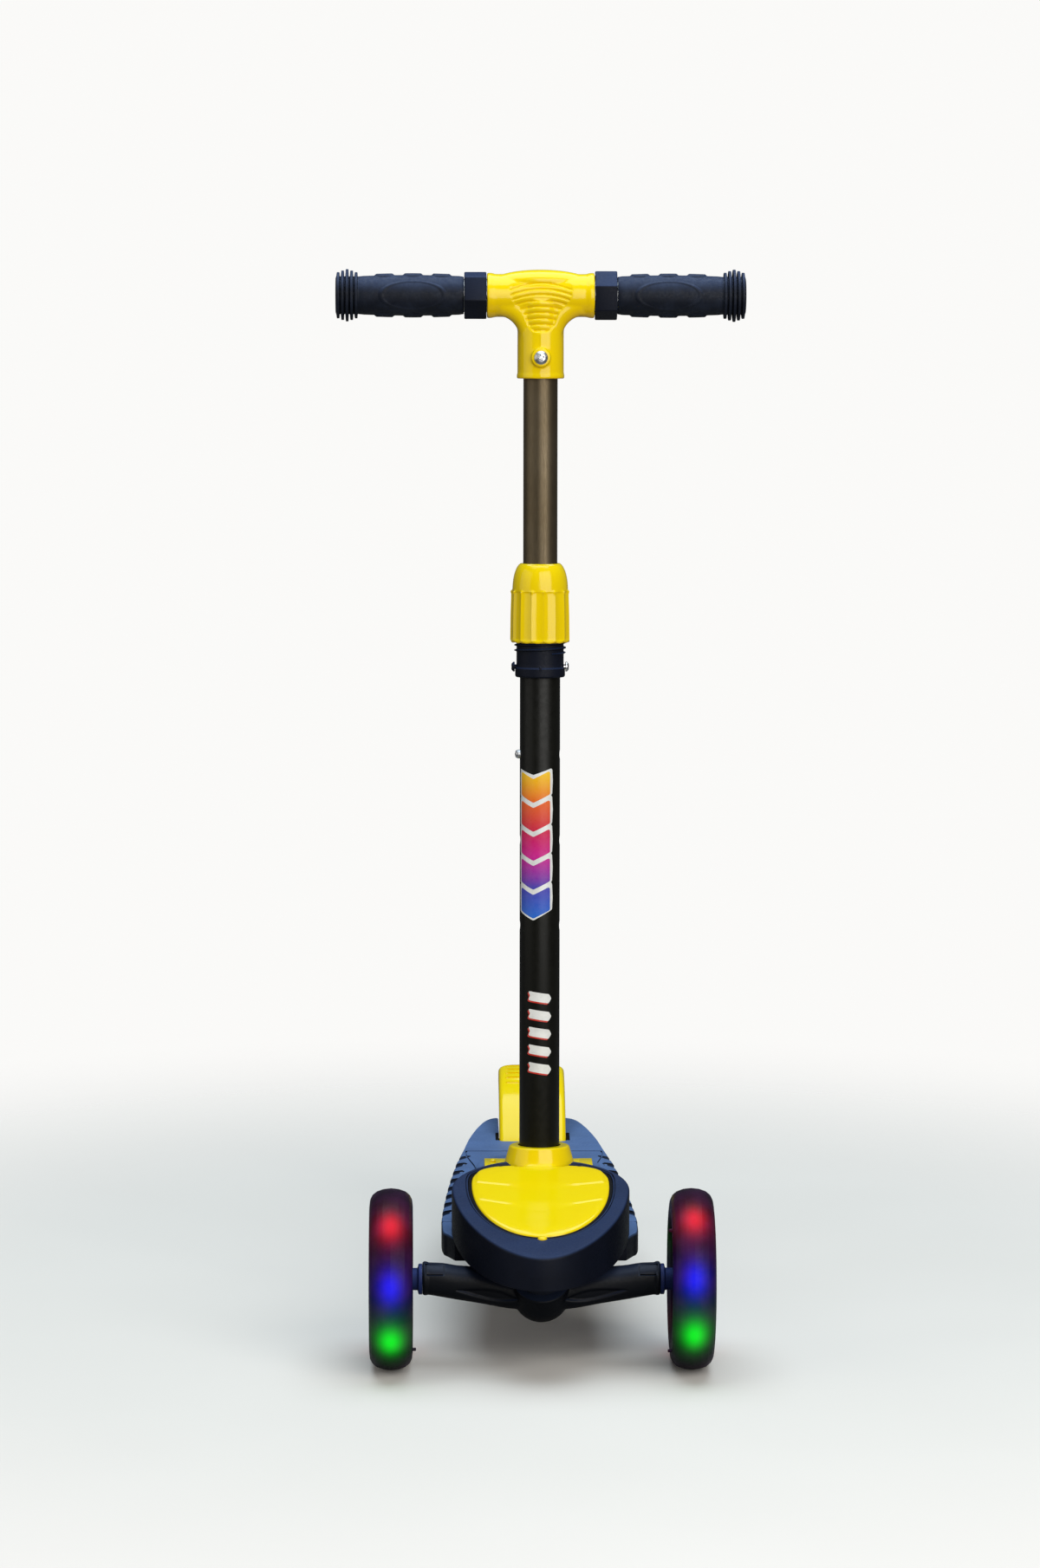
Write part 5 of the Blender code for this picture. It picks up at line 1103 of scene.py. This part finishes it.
SLOT, RAIL, TAIL_Y, STEP_Y = 24.5, 8.5, 403.0, 296.0
CORE_TOP = 2.95
HUMP = (
    (-4.4, 74), (-4.0, 81.4), (-2.6, 82.6), (-1.2, 84.6), (-0.2, 88),
    (1.6, 100), (2.7, 108.5), (3.4, 110.6), (4.8, 111.7), (6.4, 112),
)


def shrunk(outline, distance):
    """The outline, listed anticlockwise, moved inwards."""
    result = []
    for i, point in enumerate(outline):
        before, here, after = Vector(outline[i - 1]), Vector(point), Vector(outline[(i + 1) % len(outline)])
        first, second = (here - before).normalized(), (after - here).normalized()
        normal = Vector((-first.y - second.y, first.x + second.x)).normalized()
        stretch = 1 / max(0.5, normal.dot(Vector((-second.y, second.x))))
        result.append(tuple(here + normal * distance * stretch))
    return result


def deck_edge():
    """Points (x, y) down one side of the board, from under the nose to the tail."""
    rail = SLOT + RAIL
    spread = 66 - rail
    front = ((0.0, 0.74), (0.2, 0.88), (0.38, 0.985), (1.0, 1.0))
    side = (
        (0.157, 0.939), (0.358, 0.818), (0.549, 0.661), (0.688, 0.506),
        (0.790, 0.394), (0.886, 0.242), (0.941, 0.127), (0.972, 0.048),
    )
    tail = ((-0.6, -3.4), (-3.2, 1.2), (-6.0, 3.6))
    points = [(rail + spread * width, 24 + 55 * way) for way, width in front]
    points += [(rail + spread * width, 79 + (TAIL_Y - 79) * way) for way, width in side]
    points += [(rail + x, TAIL_Y + y) for x, y in tail]
    return smooth_through(points, 7)


DECK_EDGE = deck_edge()


def deck_half(y):
    for (x0, y0), (x1, y1) in zip(DECK_EDGE, DECK_EDGE[1:]):
        if y0 <= y <= y1:
            return x0 + (x1 - x0) * (y - y0) / max(1e-6, y1 - y0)
    return DECK_EDGE[0][0] if y < DECK_EDGE[0][1] else DECK_EDGE[-1][0]


def edge_turn(y):
    """How far the board's edge turns away from Y."""
    return atan2(deck_half(y + 6) - deck_half(y - 6), 12)


def deck_outline():
    inner = SLOT - 0.4
    corner = arc(inner - 4, 332, 4, 0, -90, 6)
    half = [*DECK_EDGE, (inner + 1.2, TAIL_Y + 4.3), (inner, TAIL_Y + 2.4), *corner]
    return [*half, *mirrored(half)]


def hump_outline(margin):
    return oval(46 - margin, 100, 52 - margin, 52 - margin, 3.0, 3.0, 120)


def side_lugs():
    """The curved lugs along both edges of the board."""
    lugs = []
    for _, side in SIDES:
        for i in range(8):
            y = 80 + 24.5 * i
            lug = block((-6.5, -9.5, 73.5), (1.2, 9.5, 82.9), 1.8, 4)
            for vert in lug.verts:
                vert.co.x -= 0.020 * vert.co.y**2
                if vert.co.z > 78:
                    vert.co.z -= 0.045 * (vert.co.y + 9.5)
            turn = turned(-side * edge_turn(y), "Z") @ Matrix.Diagonal((side, 1, 1, 1))
            lug = moved(lug, shift(side * deck_half(y), y, 0) @ turn)
            bmesh.ops.recalc_face_normals(lug, faces=lug.faces)
            lugs.append(lug)
    return lugs


def gills():
    """Slanted leaf-shaped hollows in the board's upper edges, between the lugs."""
    hollows = []
    for _, side in SIDES:
        for i in range(8):
            y = 92.5 + 24.5 * i
            turn = turned(side * (radians(34) - edge_turn(y)), "Z") @ turned(side * radians(20), "Y")
            leaf = ball((0, 0, 0), (3.3, 14.5, 5.6), 24)
            hollows.append(moved(leaf, shift(side * (deck_half(y) + 0.5), y, 81.6) @ turn))
    return gathered(hollows)


def pad_outline(y0, y1, extra):
    """A field on top of the board, whose sides run out to the board's edges at the rear."""
    right, steps = [], 48
    for i in range(steps + 1):
        y = y0 + (y1 - y0) * i / steps
        right.append((deck_half(y) - 14.5 + 12 * rise(y, 226, y1) - extra, y))
    return [*right, *mirrored(right)]


def line_cutter(outer, inner, low):
    """A cutter for the line between two outlines, down to the given height."""
    high = 90
    return lofted([flat(outer, low), flat(outer, high), flat(inner, high), flat(inner, low)], True)


def deck_core():
    """The part inside the nose housing, hollow from below, whose underside follows the housing's skirt."""
    margin, ahead, joint = 3.4, -67.6, 24
    core = lofted([flat(nose_outline(margin), 60), on_face(nose_outline(margin), CORE_TOP - 2)])
    curve = [ahead + (joint - ahead) * i / 24 for i in range(25)]
    skirt = [(y, skirt_low(max(y, NOSE_TIP)) + 1.5) for y in curve]
    core = carved(core, sideways([(ahead, 36), *skirt, (joint, 72), (83, 72), (83, 36)], -80, 80))
    inner = [(x, y) for x, y in nose_outline(margin + 3) if y < 33.6]
    return carved(core, lofted([flat(inner, 40), on_face(inner, CORE_TOP + 3)]))


def deck_board():
    """The board with its side lugs, and the hump behind the column with the hollow under it."""
    levels = ((1.9, 66), (0.6, 66.4), (0.0, 67.7), (0.0, 79.8), (0.2, 80.8), (0.8, 81.7), (1.9, 82.0))
    board = lofted([flat(shrunk(deck_outline(), inset), z) for inset, z in levels])
    hump = lofted([flat(hump_outline(margin), z) for margin, z in HUMP])
    under = lofted([flat(hump_outline(4), 61), flat(hump_outline(7), 99.5)])
    return carved(joined(board, *side_lugs(), hump), under)


def deck_fittings():
    """Spring posts, the rear fork's plates, the column's boss and floor, and the steering boss."""
    fittings = []
    for _, side in SIDES:
        circle = polygon(48, 7.8, side * 30, 4)
        fittings.append(lofted([flat(circle, 77), on_face(circle, CORE_TOP + 1.5)]))
    for _, side in SIDES:
        plate = [*arc(*REAR_AXLE, 11.5, 166, 214, 30), (394, 72), (344, 72)]
        fittings.append(sideways(plate, *sorted((side * 26.5, side * 31.9)), 0.8))
    fittings.append(moved(rod(21, -41.5, -4), RAKED))
    fittings.append(block((-22, 58.5, 66), (22, 106.5, 69.5)))
    fittings.append(moved(rod(14.5, 14.8, 52, 64, 0.6), STEERING))
    return fittings


def deck_cutters():
    """Room above the nose and the rear step, for bolts, pin, column and latch, and between the ribs below."""
    ahead, shield_back = -97.6, 60.95
    face = [(y, nose_face(y) - CORE_TOP) for y in (ahead, shield_back)]
    bolt = [(0, 4.8), (4.05, 4.8), (4.05, 33.3), (10, 33.3), (10, 75), (0, 75)]
    cutters = [
        sideways([*face, (shield_back, 111.2), (100, 111.2), (100, 202), (ahead, 202)], -80, 80),
        moved(spun(bolt, 48), STEERING),
    ]
    rows, first, wall = 3, 162.0, 5
    length = (STEP_Y + 2 * wall - first) / rows - wall
    for row in range(rows):
        start = first + (length + wall) * row
        end = start + length
        for _, side in SIDES:
            cutters.append(side_block(side, (1.5, start, 56), (deck_half(end) - 4.5, end, 77.5), 2.0))
    return [
        *cutters,
        block((-90, STEP_Y, 80.8), (90, 430, 100)),
        moved(rod(AXLE_BORE, -50, 50, 40), shift(0, *REAR_AXLE) @ to_side()),
        moved(rod(2.05, -30.85, 30.85, 32), HINGE),
        moved(rod(17.25, -39.55, 60, 96), RAKED),
        block((-35.3, 105.4, 108.3), (35.3, 126.1, 130)),
        block((-4.05, 88.5, 103.45), (4.05, 134.5, 108.5)),
    ]


def deck_grooves():
    """Fine lines round the foot field and the hump, the gills, and two notches beside the brake plate."""
    return [
        line_cutter(pad_outline(158, 291, 0.0), pad_outline(159.3, 289.7, 1.3), 80.9),
        gills(),
        *[side_block(side, (SLOT - 2.0, 331.2, 75.0), (SLOT + 2.3, 356.5, 90.0), 0.5) for _, side in SIDES],
        *[line_cutter(hump_outline(-4.4 - away), hump_outline(-3.2 - away), 81.3) for away in (4.0, 8.5)],
    ]


def deck():
    """The moulded deck, and near-black sheets in its two notches that paint the shadow in them."""
    shape = joined(deck_board(), deck_core(), *deck_fittings())
    shape = carved(carved(shape, *deck_cutters()), *deck_grooves())
    piece("moulded_deck", shape, FLOOR, BOARD_NAVY, "deck", ["deck"], "navy_plastic", 32)
    # Near-black sheets inside the two notches beside the brake plate: painted shadow.
    low, high = (SLOT + 0.1, 331.3, 75.1), (SLOT + 2.25, 356.4, 80.2)
    notch_shadow_sheets = [side_block(side, low, high, 0.3) for _, side in SIDES]
    piece("slot_painted_shadows", gathered(notch_shadow_sheets), FLOOR, GAP_SHADOW_BLACK, "deck", slot="navy_plastic")


def latch():
    """The latch plate: its raised wings and rear edge overlap the pocket in the hump."""
    low, high = 108.6, 111.6
    plate = drawn(eased([(-34.5, 106), (34.5, 106), (34.5, 121), (-34.5, 121)], 4.0, 6, True), low, high, 0.7)
    wings = [side_block(side, (27.8, 104.4, 112.2), (36.8, 126.9, 113.4), 0.45) for _, side in SIDES]
    rear_edge = block((-30.1, 113.6, 112.25), (30.1, 126.8, 113.3), 0.4)
    rear_foot = block((-20, 114.4, high - 1.5), (20, 120.4, 112.9), 0.6)
    tooth = block((-4, 97.0, 103.5), (4, 116, low - 0.8), 0.3)
    stem = block((-4, 107, 105.5), (4, 116, low + 1))
    grip_bar = block((-12, 118.6, 112.5), (12, 122.2, high + 2.6), 0.7)
    wing_feet = [side_block(side, (28.6, 107.6, high - 1.5), (33.9, 120.4, 112.9), 0.6) for _, side in SIDES]
    knob = spun(eased([(0, 0), (2.3, 0), (2.1, 3.4), (0, 4.5)], 0.9, 4), 32)
    knob = moved(knob, shift(-31.0, 115, high - 0.2))
    shape = joined(plate, *wings, rear_edge, rear_foot, tooth, stem, grip_bar, *wing_feet, knob)
    piece("column_latch_plate", shape, FLOOR, YELLOW, "latch", ["column_latch"], "yellow_plastic", 40)


# Steering beam and front wheels

def beam_arms():
    """Both tapering arms, from their sections (x, z, half height, half depth)."""
    half = smooth_through([
        (78.8, 60.7, 10.25, 10.25), (66, 59.4, 11.1, 10.8), (56, 57.7, 11.2, 11.0),
        (40, 55.6, 11.7, 11.4), (20, 51.4, 11.0, 12.0), (0, 49, 9.4, 12.0),
    ], 6)
    rings = []
    for x, z, tall, deep in [(-x, *rest) for x, *rest in half[:-1]] + half[::-1]:
        angles = [2 * pi * k / 64 for k in range(64)]
        rings.append([(x, deep * bent(cos(a), 0.86), z + tall * bent(sin(a), 0.86)) for a in angles])
    return lofted(rings)


def beam():
    """The beam: two arms with leaf-shaped hollows and clip slots, and a cup round the leaning axis."""
    bowl = [(19 * sin(pi / 2 * i / 12), -19 * cos(pi / 2 * i / 12)) for i in range(13)]
    hub = moved(spun([*bowl, (19, 12.2), (18.2, 13), (0, 13)]), STEERING)
    lip = [(0, 75.4), (10.9, 75.4), (11.3, 76.2), (11.3, 77.9), (10.4, 78.8), (0, 78.8)]
    ends = []
    for _, side in SIDES:
        ends.append(moved(spun(eased(lip, 0.5, 3)), shift(0, 0, 60.5) @ to_side(side)))
        ends.append(moved(rod(7.2, 52, 64.5, 48, 0.6), shift(side * 30, 4, 0)))
    shape = melted([beam_arms(), hub, *ends], 0.6, 4)

    def hollows(point):
        x, y, z = abs(point.x), point.y, point.z
        share = (x - 36.0) / 21.0
        if y > 2 or x > 62 or abs(share) >= 1:
            return 0.0
        leaf = 3.6 * (1 - share * share) * (1.25 - 0.5 * rise(x, 20, 55))
        inside = 1 - rise(abs(z - 46.4 - 0.15 * x), leaf - 1.6, leaf + 0.7)
        return -1.9 * inside * (1 - rise(y, -3, 2))

    shape = pushed(shape, hollows)
    slots = shift(0, 0, WHEEL_RADIUS) @ turned(radians(-50), "X")
    cutters = []
    for _, side in SIDES:
        for x0, x1, z0, z1 in (
            (64.0, 77.0, -4.8, -3.8), (64.0, 77.0, 3.8, 4.8),
            (64.0, 65.0, -4.8, 4.8), (76.0, 77.0, -4.8, 4.8),
        ):
            cutters.append(moved(side_block(side, (x0, -20, z0), (x1, -9.4, z1)), slots))
        cutters.append(moved(rod(AXLE_BORE, 64, 100, 48), shift(0, 0, WHEEL_RADIUS) @ to_side(side)))
    cutters.append(moved(rod(5.45, -12, 30, 48), STEERING))
    cutters.append(moved(rod(8.2, -30, -11.05, 48), STEERING))
    shape = carved(shape, *cutters)
    piece(
        "steering_beam_body", shape, FLOOR, BEAM_BLACK, "steering_beam", ["front_truck"], "navy_plastic", 40
    )


def tyre_profile(radius, bore, half):
    deep = radius - bore
    lower = [(bore, -half * 0.72), (bore + deep * 0.14, -half * 0.86), (bore + deep * 0.32, -half * 0.95)]
    for reach, wide in ((0.80, 1.0), (0.875, 0.965), (0.925, 0.86), (0.965, 0.66), (0.99, 0.36)):
        lower.append((radius * reach, -half * wide))
    return eased([*lower, (radius, 0), *upended(lower)], 3.0, 3, True)


def core_profile(rim, rim_half, web_half, hub_half):
    web, hub = rim - 6.5, 15.6
    lower = [
        (rim, -rim_half + 0.4), (rim - 0.6, -rim_half), (rim - 2.6, -rim_half, 0.5),
        (rim - 4.2, -web_half - 1.2), (web, -web_half),
        *[(web + (hub - web) * i / 10, -web_half) for i in range(1, 10)],
        (hub - 0.5, -web_half), (14.2, -hub_half + 1), (13.2, -hub_half, 0.5),
        (11.05, -hub_half), (11.05, -hub_half + 7.1), (8, -hub_half + 7.1),
    ]
    return eased([*lower, *upended(lower)], 0.7, 2, True)


def wheel_core(rim, rim_half, web_half, hub_half, ribs):
    """Rim, web and hub, with radial ribs on the outer side of the web."""
    shape = spun(core_profile(rim, rim_half, web_half, hub_half), 240, True)
    for vert in shape.verts:
        radius = hypot(vert.co.x, vert.co.y)
        if not 15.0 < radius < rim - 4.5 or vert.co.z < 0.5:
            continue
        angle = (atan2(vert.co.y, vert.co.x) * ribs / (2 * pi)) % 1.0
        near = min(angle, 1 - angle) * 2 * pi / ribs * radius
        vert.co.z += 2.1 * (1 - rise(near, 0.9, 1.7))
    return shape


def wheel(side, axle, body, nodes, tyre_shape, tyre_look, core_shape, names):
    """A tyre and its core, which spin together on an axle."""
    place = outwards(side, *axle)
    piece(names[0], tyre_shape, place, tyre_look, body, [nodes[0]], "smoky_tyre", 40)
    piece(names[1], core_shape, place, CORE_BLACK, body, [nodes[1]], "core_plastic")


def axle_bolt(name, place, node, body, tip, face):
    """A bolt along local Z with a domed head and a hex socket."""
    start = [(0, tip), (3.3, tip), (3.9, tip + 0.8)]
    head = [(3.9, face), (6.8, face, 0.3), (6.8, face + 2.4, 0.8), (5.0, face + 4.2, 0.6), (0, face + 4.2)]
    shape = carved(spun(eased([*start, *head], 0.4, 3), 64), drawn(polygon(6, 2.9), face + 1.6, face + 9))
    piece(name, shape, place, ZINC, body, [node], "zinc_steel")


def front_wheels():
    spacer = eased([
        (AXLE_BORE, 78.85), (10.2, 78.85, 0.3), (10.2, 81.3, 0.5), (8.6, 81.7, 0.3), (7.4, 82.0, 0.5),
        (7.3, 88.6), (6.2, 90.0, 0.4), (AXLE_BORE, 90.15),
    ], 0.3, 3, True)
    nub = [(0, -16.6), (1.0, -16.6), (1.3, -13.0), (0, -13.0)]
    for side_name, side in SIDES:
        tyre = [spun(tyre_profile(WHEEL_RADIUS, 36.5, 14.4), 192, True)]
        for forward in (-52,) if side < 0 else (52.5, -55.5):
            angle = atan2(-cos(radians(forward)), -side * sin(radians(forward)))
            tyre.append(moved(spun(eased(nub, 0.3, 3), 20), shift(50.5 * cos(angle), 50.5 * sin(angle), 0)))
        wheel(
            side, (side * WHEEL_X, 0, WHEEL_RADIUS), f"{side_name}_wheel",
            (f"{side_name}_front_tyre", f"{side_name}_front_wheel_core"), joined(*tyre),
            lit_tyre(f"{side_name}_lit_tyre", side * WHEEL_X / 1000, 53.9 if side > 0 else 48.8),
            wheel_core(36.45, 9.8, 3.6, 9.3, 12), (f"{side_name}_wheel_tyre", f"{side_name}_wheel_core"),
        )
        place = outwards(side, 0, 0, WHEEL_RADIUS)
        axle_bolt(f"{side_name}_wheel_bolt", place, f"{side_name}_axle_bolt", "steering_beam", 64.5, 108.85)
        piece(
            f"{side_name}_wheel_spacer", spun(spacer, 72, True), place, SPACER_BLUE, "steering_beam",
            [f"{side_name}_axle_spacer"], "core_plastic",
        )


# Rear wheel and brake

def rear_wheel():
    wheel(
        1, (0, *REAR_AXLE), "rear_wheel", ("rear_tyre", "rear_wheel_core"),
        spun(tyre_profile(45, 28.5, 12), 192, True), DARK_TYRE,
        wheel_core(28.45, 8.0, 3.4, 11.5, 9), ("rear_wheel_tyre", "rear_wheel_hub"),
    )
    fork = 31.75
    axle_bolt("rear_wheel_bolt", outwards(1, 0, *REAR_AXLE), "rear_axle_bolt", "deck", -38.55, fork)
    nut = carved(drawn(polygon(6, 7.4), fork, 37.5, 0.5, 2), rod(AXLE_BORE, 20, 60, 40))
    piece("rear_wheel_nut", nut, outwards(-1, 0, *REAR_AXLE), ZINC, "deck", ["rear_axle_nut"], "zinc_steel")


def fender():
    """The brake plate over the rear wheel: a curved channel with round rear corners and five grooves."""
    radius, front, rear = 121, 48.5, 3.4
    middle = (415 + radius * sin(radians(rear)), 119 - radius * cos(radians(rear)))
    half, deep, wall, corner, shoulder = 24.0, 10.2, 2.7, 6.5, 3.6

    def at(x, reach, slope):
        return (x, middle[0] - reach * sin(slope), middle[1] + reach * cos(slope))

    rings, steps = [], 72
    for i in range(steps + 1):
        slope = radians(front + (rear - front) * i / steps)
        left = (slope - radians(rear)) * radius
        wide = half - corner + sqrt(max(0.0, corner**2 - (corner - min(left, corner)) ** 2))
        low = radius - deep + 3.5 * rise(left, 9, 0)
        step = 0.55 * (1 - rise(left, 27.5, 29.5)) * rise(left, 0.0, 2.5)
        edge = [(wide, low), *arc(wide - shoulder, radius - shoulder, shoulder, 0, 90, 8)]
        top = []
        for x in (19.0, 17.6, 16.6, 10, 0, -10, -16.6, -17.6, -19.0):
            top.append((x * wide / half, radius + (step if abs(x) < 17 else 0.0)))
        inner = [(-wide + wall, low), (-wide + wall, 116.2), (-wide + wall + 1.6, 117.8)]
        rings.append([at(x, r, slope) for x, r in [*edge, *top, *mirrored(edge), *inner, *mirrored(inner)]])
    ribs = []
    foot = [(REAR_AXLE[0] + 14 - 30 * i / 16, 2 * REAR_AXLE[1] + 4.6) for i in range(17)]
    slopes = [atan2(middle[0] - y, z - middle[1]) for y, z in foot]
    roof = [(middle[0] - 119.4 * sin(s), middle[1] + 119.4 * cos(s)) for s in slopes]
    for x in (-8, 0, 8):
        ribs.append(sideways([*foot, *reversed(roof)], x - 1.2, x + 1.2))
    shape = joined(lofted(rings), moved(rod(4.8, -23.9, 23.9, 64, 0.5), HINGE), *ribs)
    spring_gap = sideways([(-12, -20), (12, -20), (12, 6.2), (2.8, 6.2), (1.2, 0.2), (-12, 0.2)], -5.9, 5.9)
    cutters = [
        moved(rod(2.05, -30, 30, 32), HINGE), moved(rod(3.45, -5.6, 5.6, 48), HINGE),
        moved(spring_gap, shift(0, *BRAKE_HINGE)),
    ]
    for i in range(5):
        slope = radians(rear + 2.3 + 3.4 * i)
        groove = block((-19, -1.1, -1.2), (19, 1.1, 6), 0.8)
        cutters.append(moved(groove, shift(*at(0, radius + 0.3, slope)) @ turned(slope, "X")))
    shape = carved(shape, *cutters)
    piece("rear_brake_plate", shape, FLOOR, YELLOW, "brake", ["brake_fender"], "yellow_plastic", 40)


# Build

tee()
cross_screw(
    "tee_cross_screw", COLUMN @ shift(0, 0, TEE_SCREW_HEIGHT) @ TO_FRONT, ZINC, "mast", "tee_screw",
    "zinc_steel", 18.0, 2.2, 6.0,
)
for side_name, side in SIDES:
    bar_collar(side_name, side)
    grip(side_name, side)
upper_column()
snap_button()
clamp_nut()
clamp_collar()
collar_screws()
lower_column()
stickers()
nose_bezel()
front_cover()
deck()
latch()
beam()
front_wheels()
rear_wheel()
fender()

# CAD pieces that stay, with finer materials in their slots

for look, names in (
    (ZINC, (
        "handlebar_tube", "column_socket", "pivot_bolt", "pivot_nut", "pivot_washer", "brake_pin",
        "clamp_wedge", "rear_right_bearing", "rear_left_bearing", "right_outer_bearing",
        "right_inner_bearing", "left_outer_bearing", "left_inner_bearing",
    )),
    (SPRING, (
        "snap_spring", "right_steering_spring", "left_steering_spring", "latch_spring", "brake_spring",
    )),
    (LIGHT_GUIDE, ("right_light_ring", "left_light_ring")),
    (CORE_BLACK, ("pivot_bush", "rear_right_spacer", "rear_left_spacer")),
):
    for name in names:
        for material_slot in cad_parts[name].material_slots:
            material_slot.material = look.material


# Room and light

def stage_plane(name, corners, look):
    mesh = bpy.data.meshes.new(name)
    mesh.from_pydata(corners, [], [tuple(range(len(corners)))])
    mesh.materials.append(look.material)
    item = bpy.data.objects.new(name, mesh)
    bpy.context.scene.collection.objects.link(item)


def floor_look():
    """Pale and matt, fading out into the backdrop far from the object."""
    look = Look("pale_floor", (0.80, 0.79, 0.76), 0.7, Specular_IOR_Level=0.1)
    x, y, _ = look.axes()
    reach = look.length(x, y)
    seen = look.node("ShaderNodeLightPath").outputs["Is Camera Ray"]
    pale = look.mix(look.span(look.noise(3, 2), 0.3, 0.7), (0.82, 0.79, 0.745), (0.84, 0.81, 0.765))
    look.colour(look.mix(seen, (0.26, 0.26, 0.25), pale))
    look.feed(look.shader.inputs["Alpha"], look.span(reach, 0.35, 0.95, 1.0, 0.0))
    return look


stage_plane("floor", [(-1, -1, 0), (1, -1, 0), (1, 1, 0), (-1, 1, 0)], floor_look())


def soft_lamp(name, size, place, target, power, colour):
    light = bpy.data.lights.new(name, "AREA")
    light.shape = "RECTANGLE"
    light.size, light.size_y = size
    light.energy = power
    light.color = colour
    item = bpy.data.objects.new(name, light)
    item.location = place
    item.rotation_euler = (Vector(target) - Vector(place)).to_track_quat("-Z", "Y").to_euler()
    bpy.context.scene.collection.objects.link(item)


soft_lamp("front_window", (2.1, 2.2), (0.85, -2.1, 1.2), (0, 0, 0.45), 50, (1.0, 0.985, 0.95))
soft_lamp("overhead", (2.2, 2.2), (0, 0.1, 2.3), (0, 0, 0.3), 48, (0.80, 0.92, 1.0))
soft_lamp("left_fill", (2.4, 2.2), (-2.3, -0.9, 1.1), (0, 0, 0.4), 14, (1.0, 0.98, 0.92))

world = bpy.data.worlds.new("studio")
world.use_nodes = True
tree = world.node_tree
backdrop = tree.nodes["Background"]
backdrop.inputs["Color"].default_value = (0.92, 0.94, 1.0, 1.0)
backdrop.inputs["Strength"].default_value = 0.10
seen = tree.nodes.new("ShaderNodeBackground")
seen.inputs["Color"].default_value = (0.96, 0.955, 0.94, 1.0)
seen.inputs["Strength"].default_value = 1.0
chooser = tree.nodes.new("ShaderNodeMixShader")
rays = tree.nodes.new("ShaderNodeLightPath")
tree.links.new(rays.outputs["Is Camera Ray"], chooser.inputs["Fac"])
tree.links.new(backdrop.outputs["Background"], chooser.inputs[1])
tree.links.new(seen.outputs["Background"], chooser.inputs[2])
tree.links.new(chooser.outputs["Shader"], tree.nodes["World Output"].inputs["Surface"])
scene = bpy.context.scene
scene.world = world
scene.view_settings.view_transform = "Standard"

camera_data = bpy.data.cameras.new("camera")
camera_data.sensor_fit = "VERTICAL"
camera_data.sensor_height = 36
camera_data.lens = 128.70
camera_data.dof.use_dof = False
camera = bpy.data.objects.new("camera", camera_data)
camera.location = (-0.0705, -3.8003, 0.9520)
camera.rotation_euler = (radians(90 - 8.8), radians(-0.14), radians(-0.858))
scene.collection.objects.link(camera)
scene.camera = camera
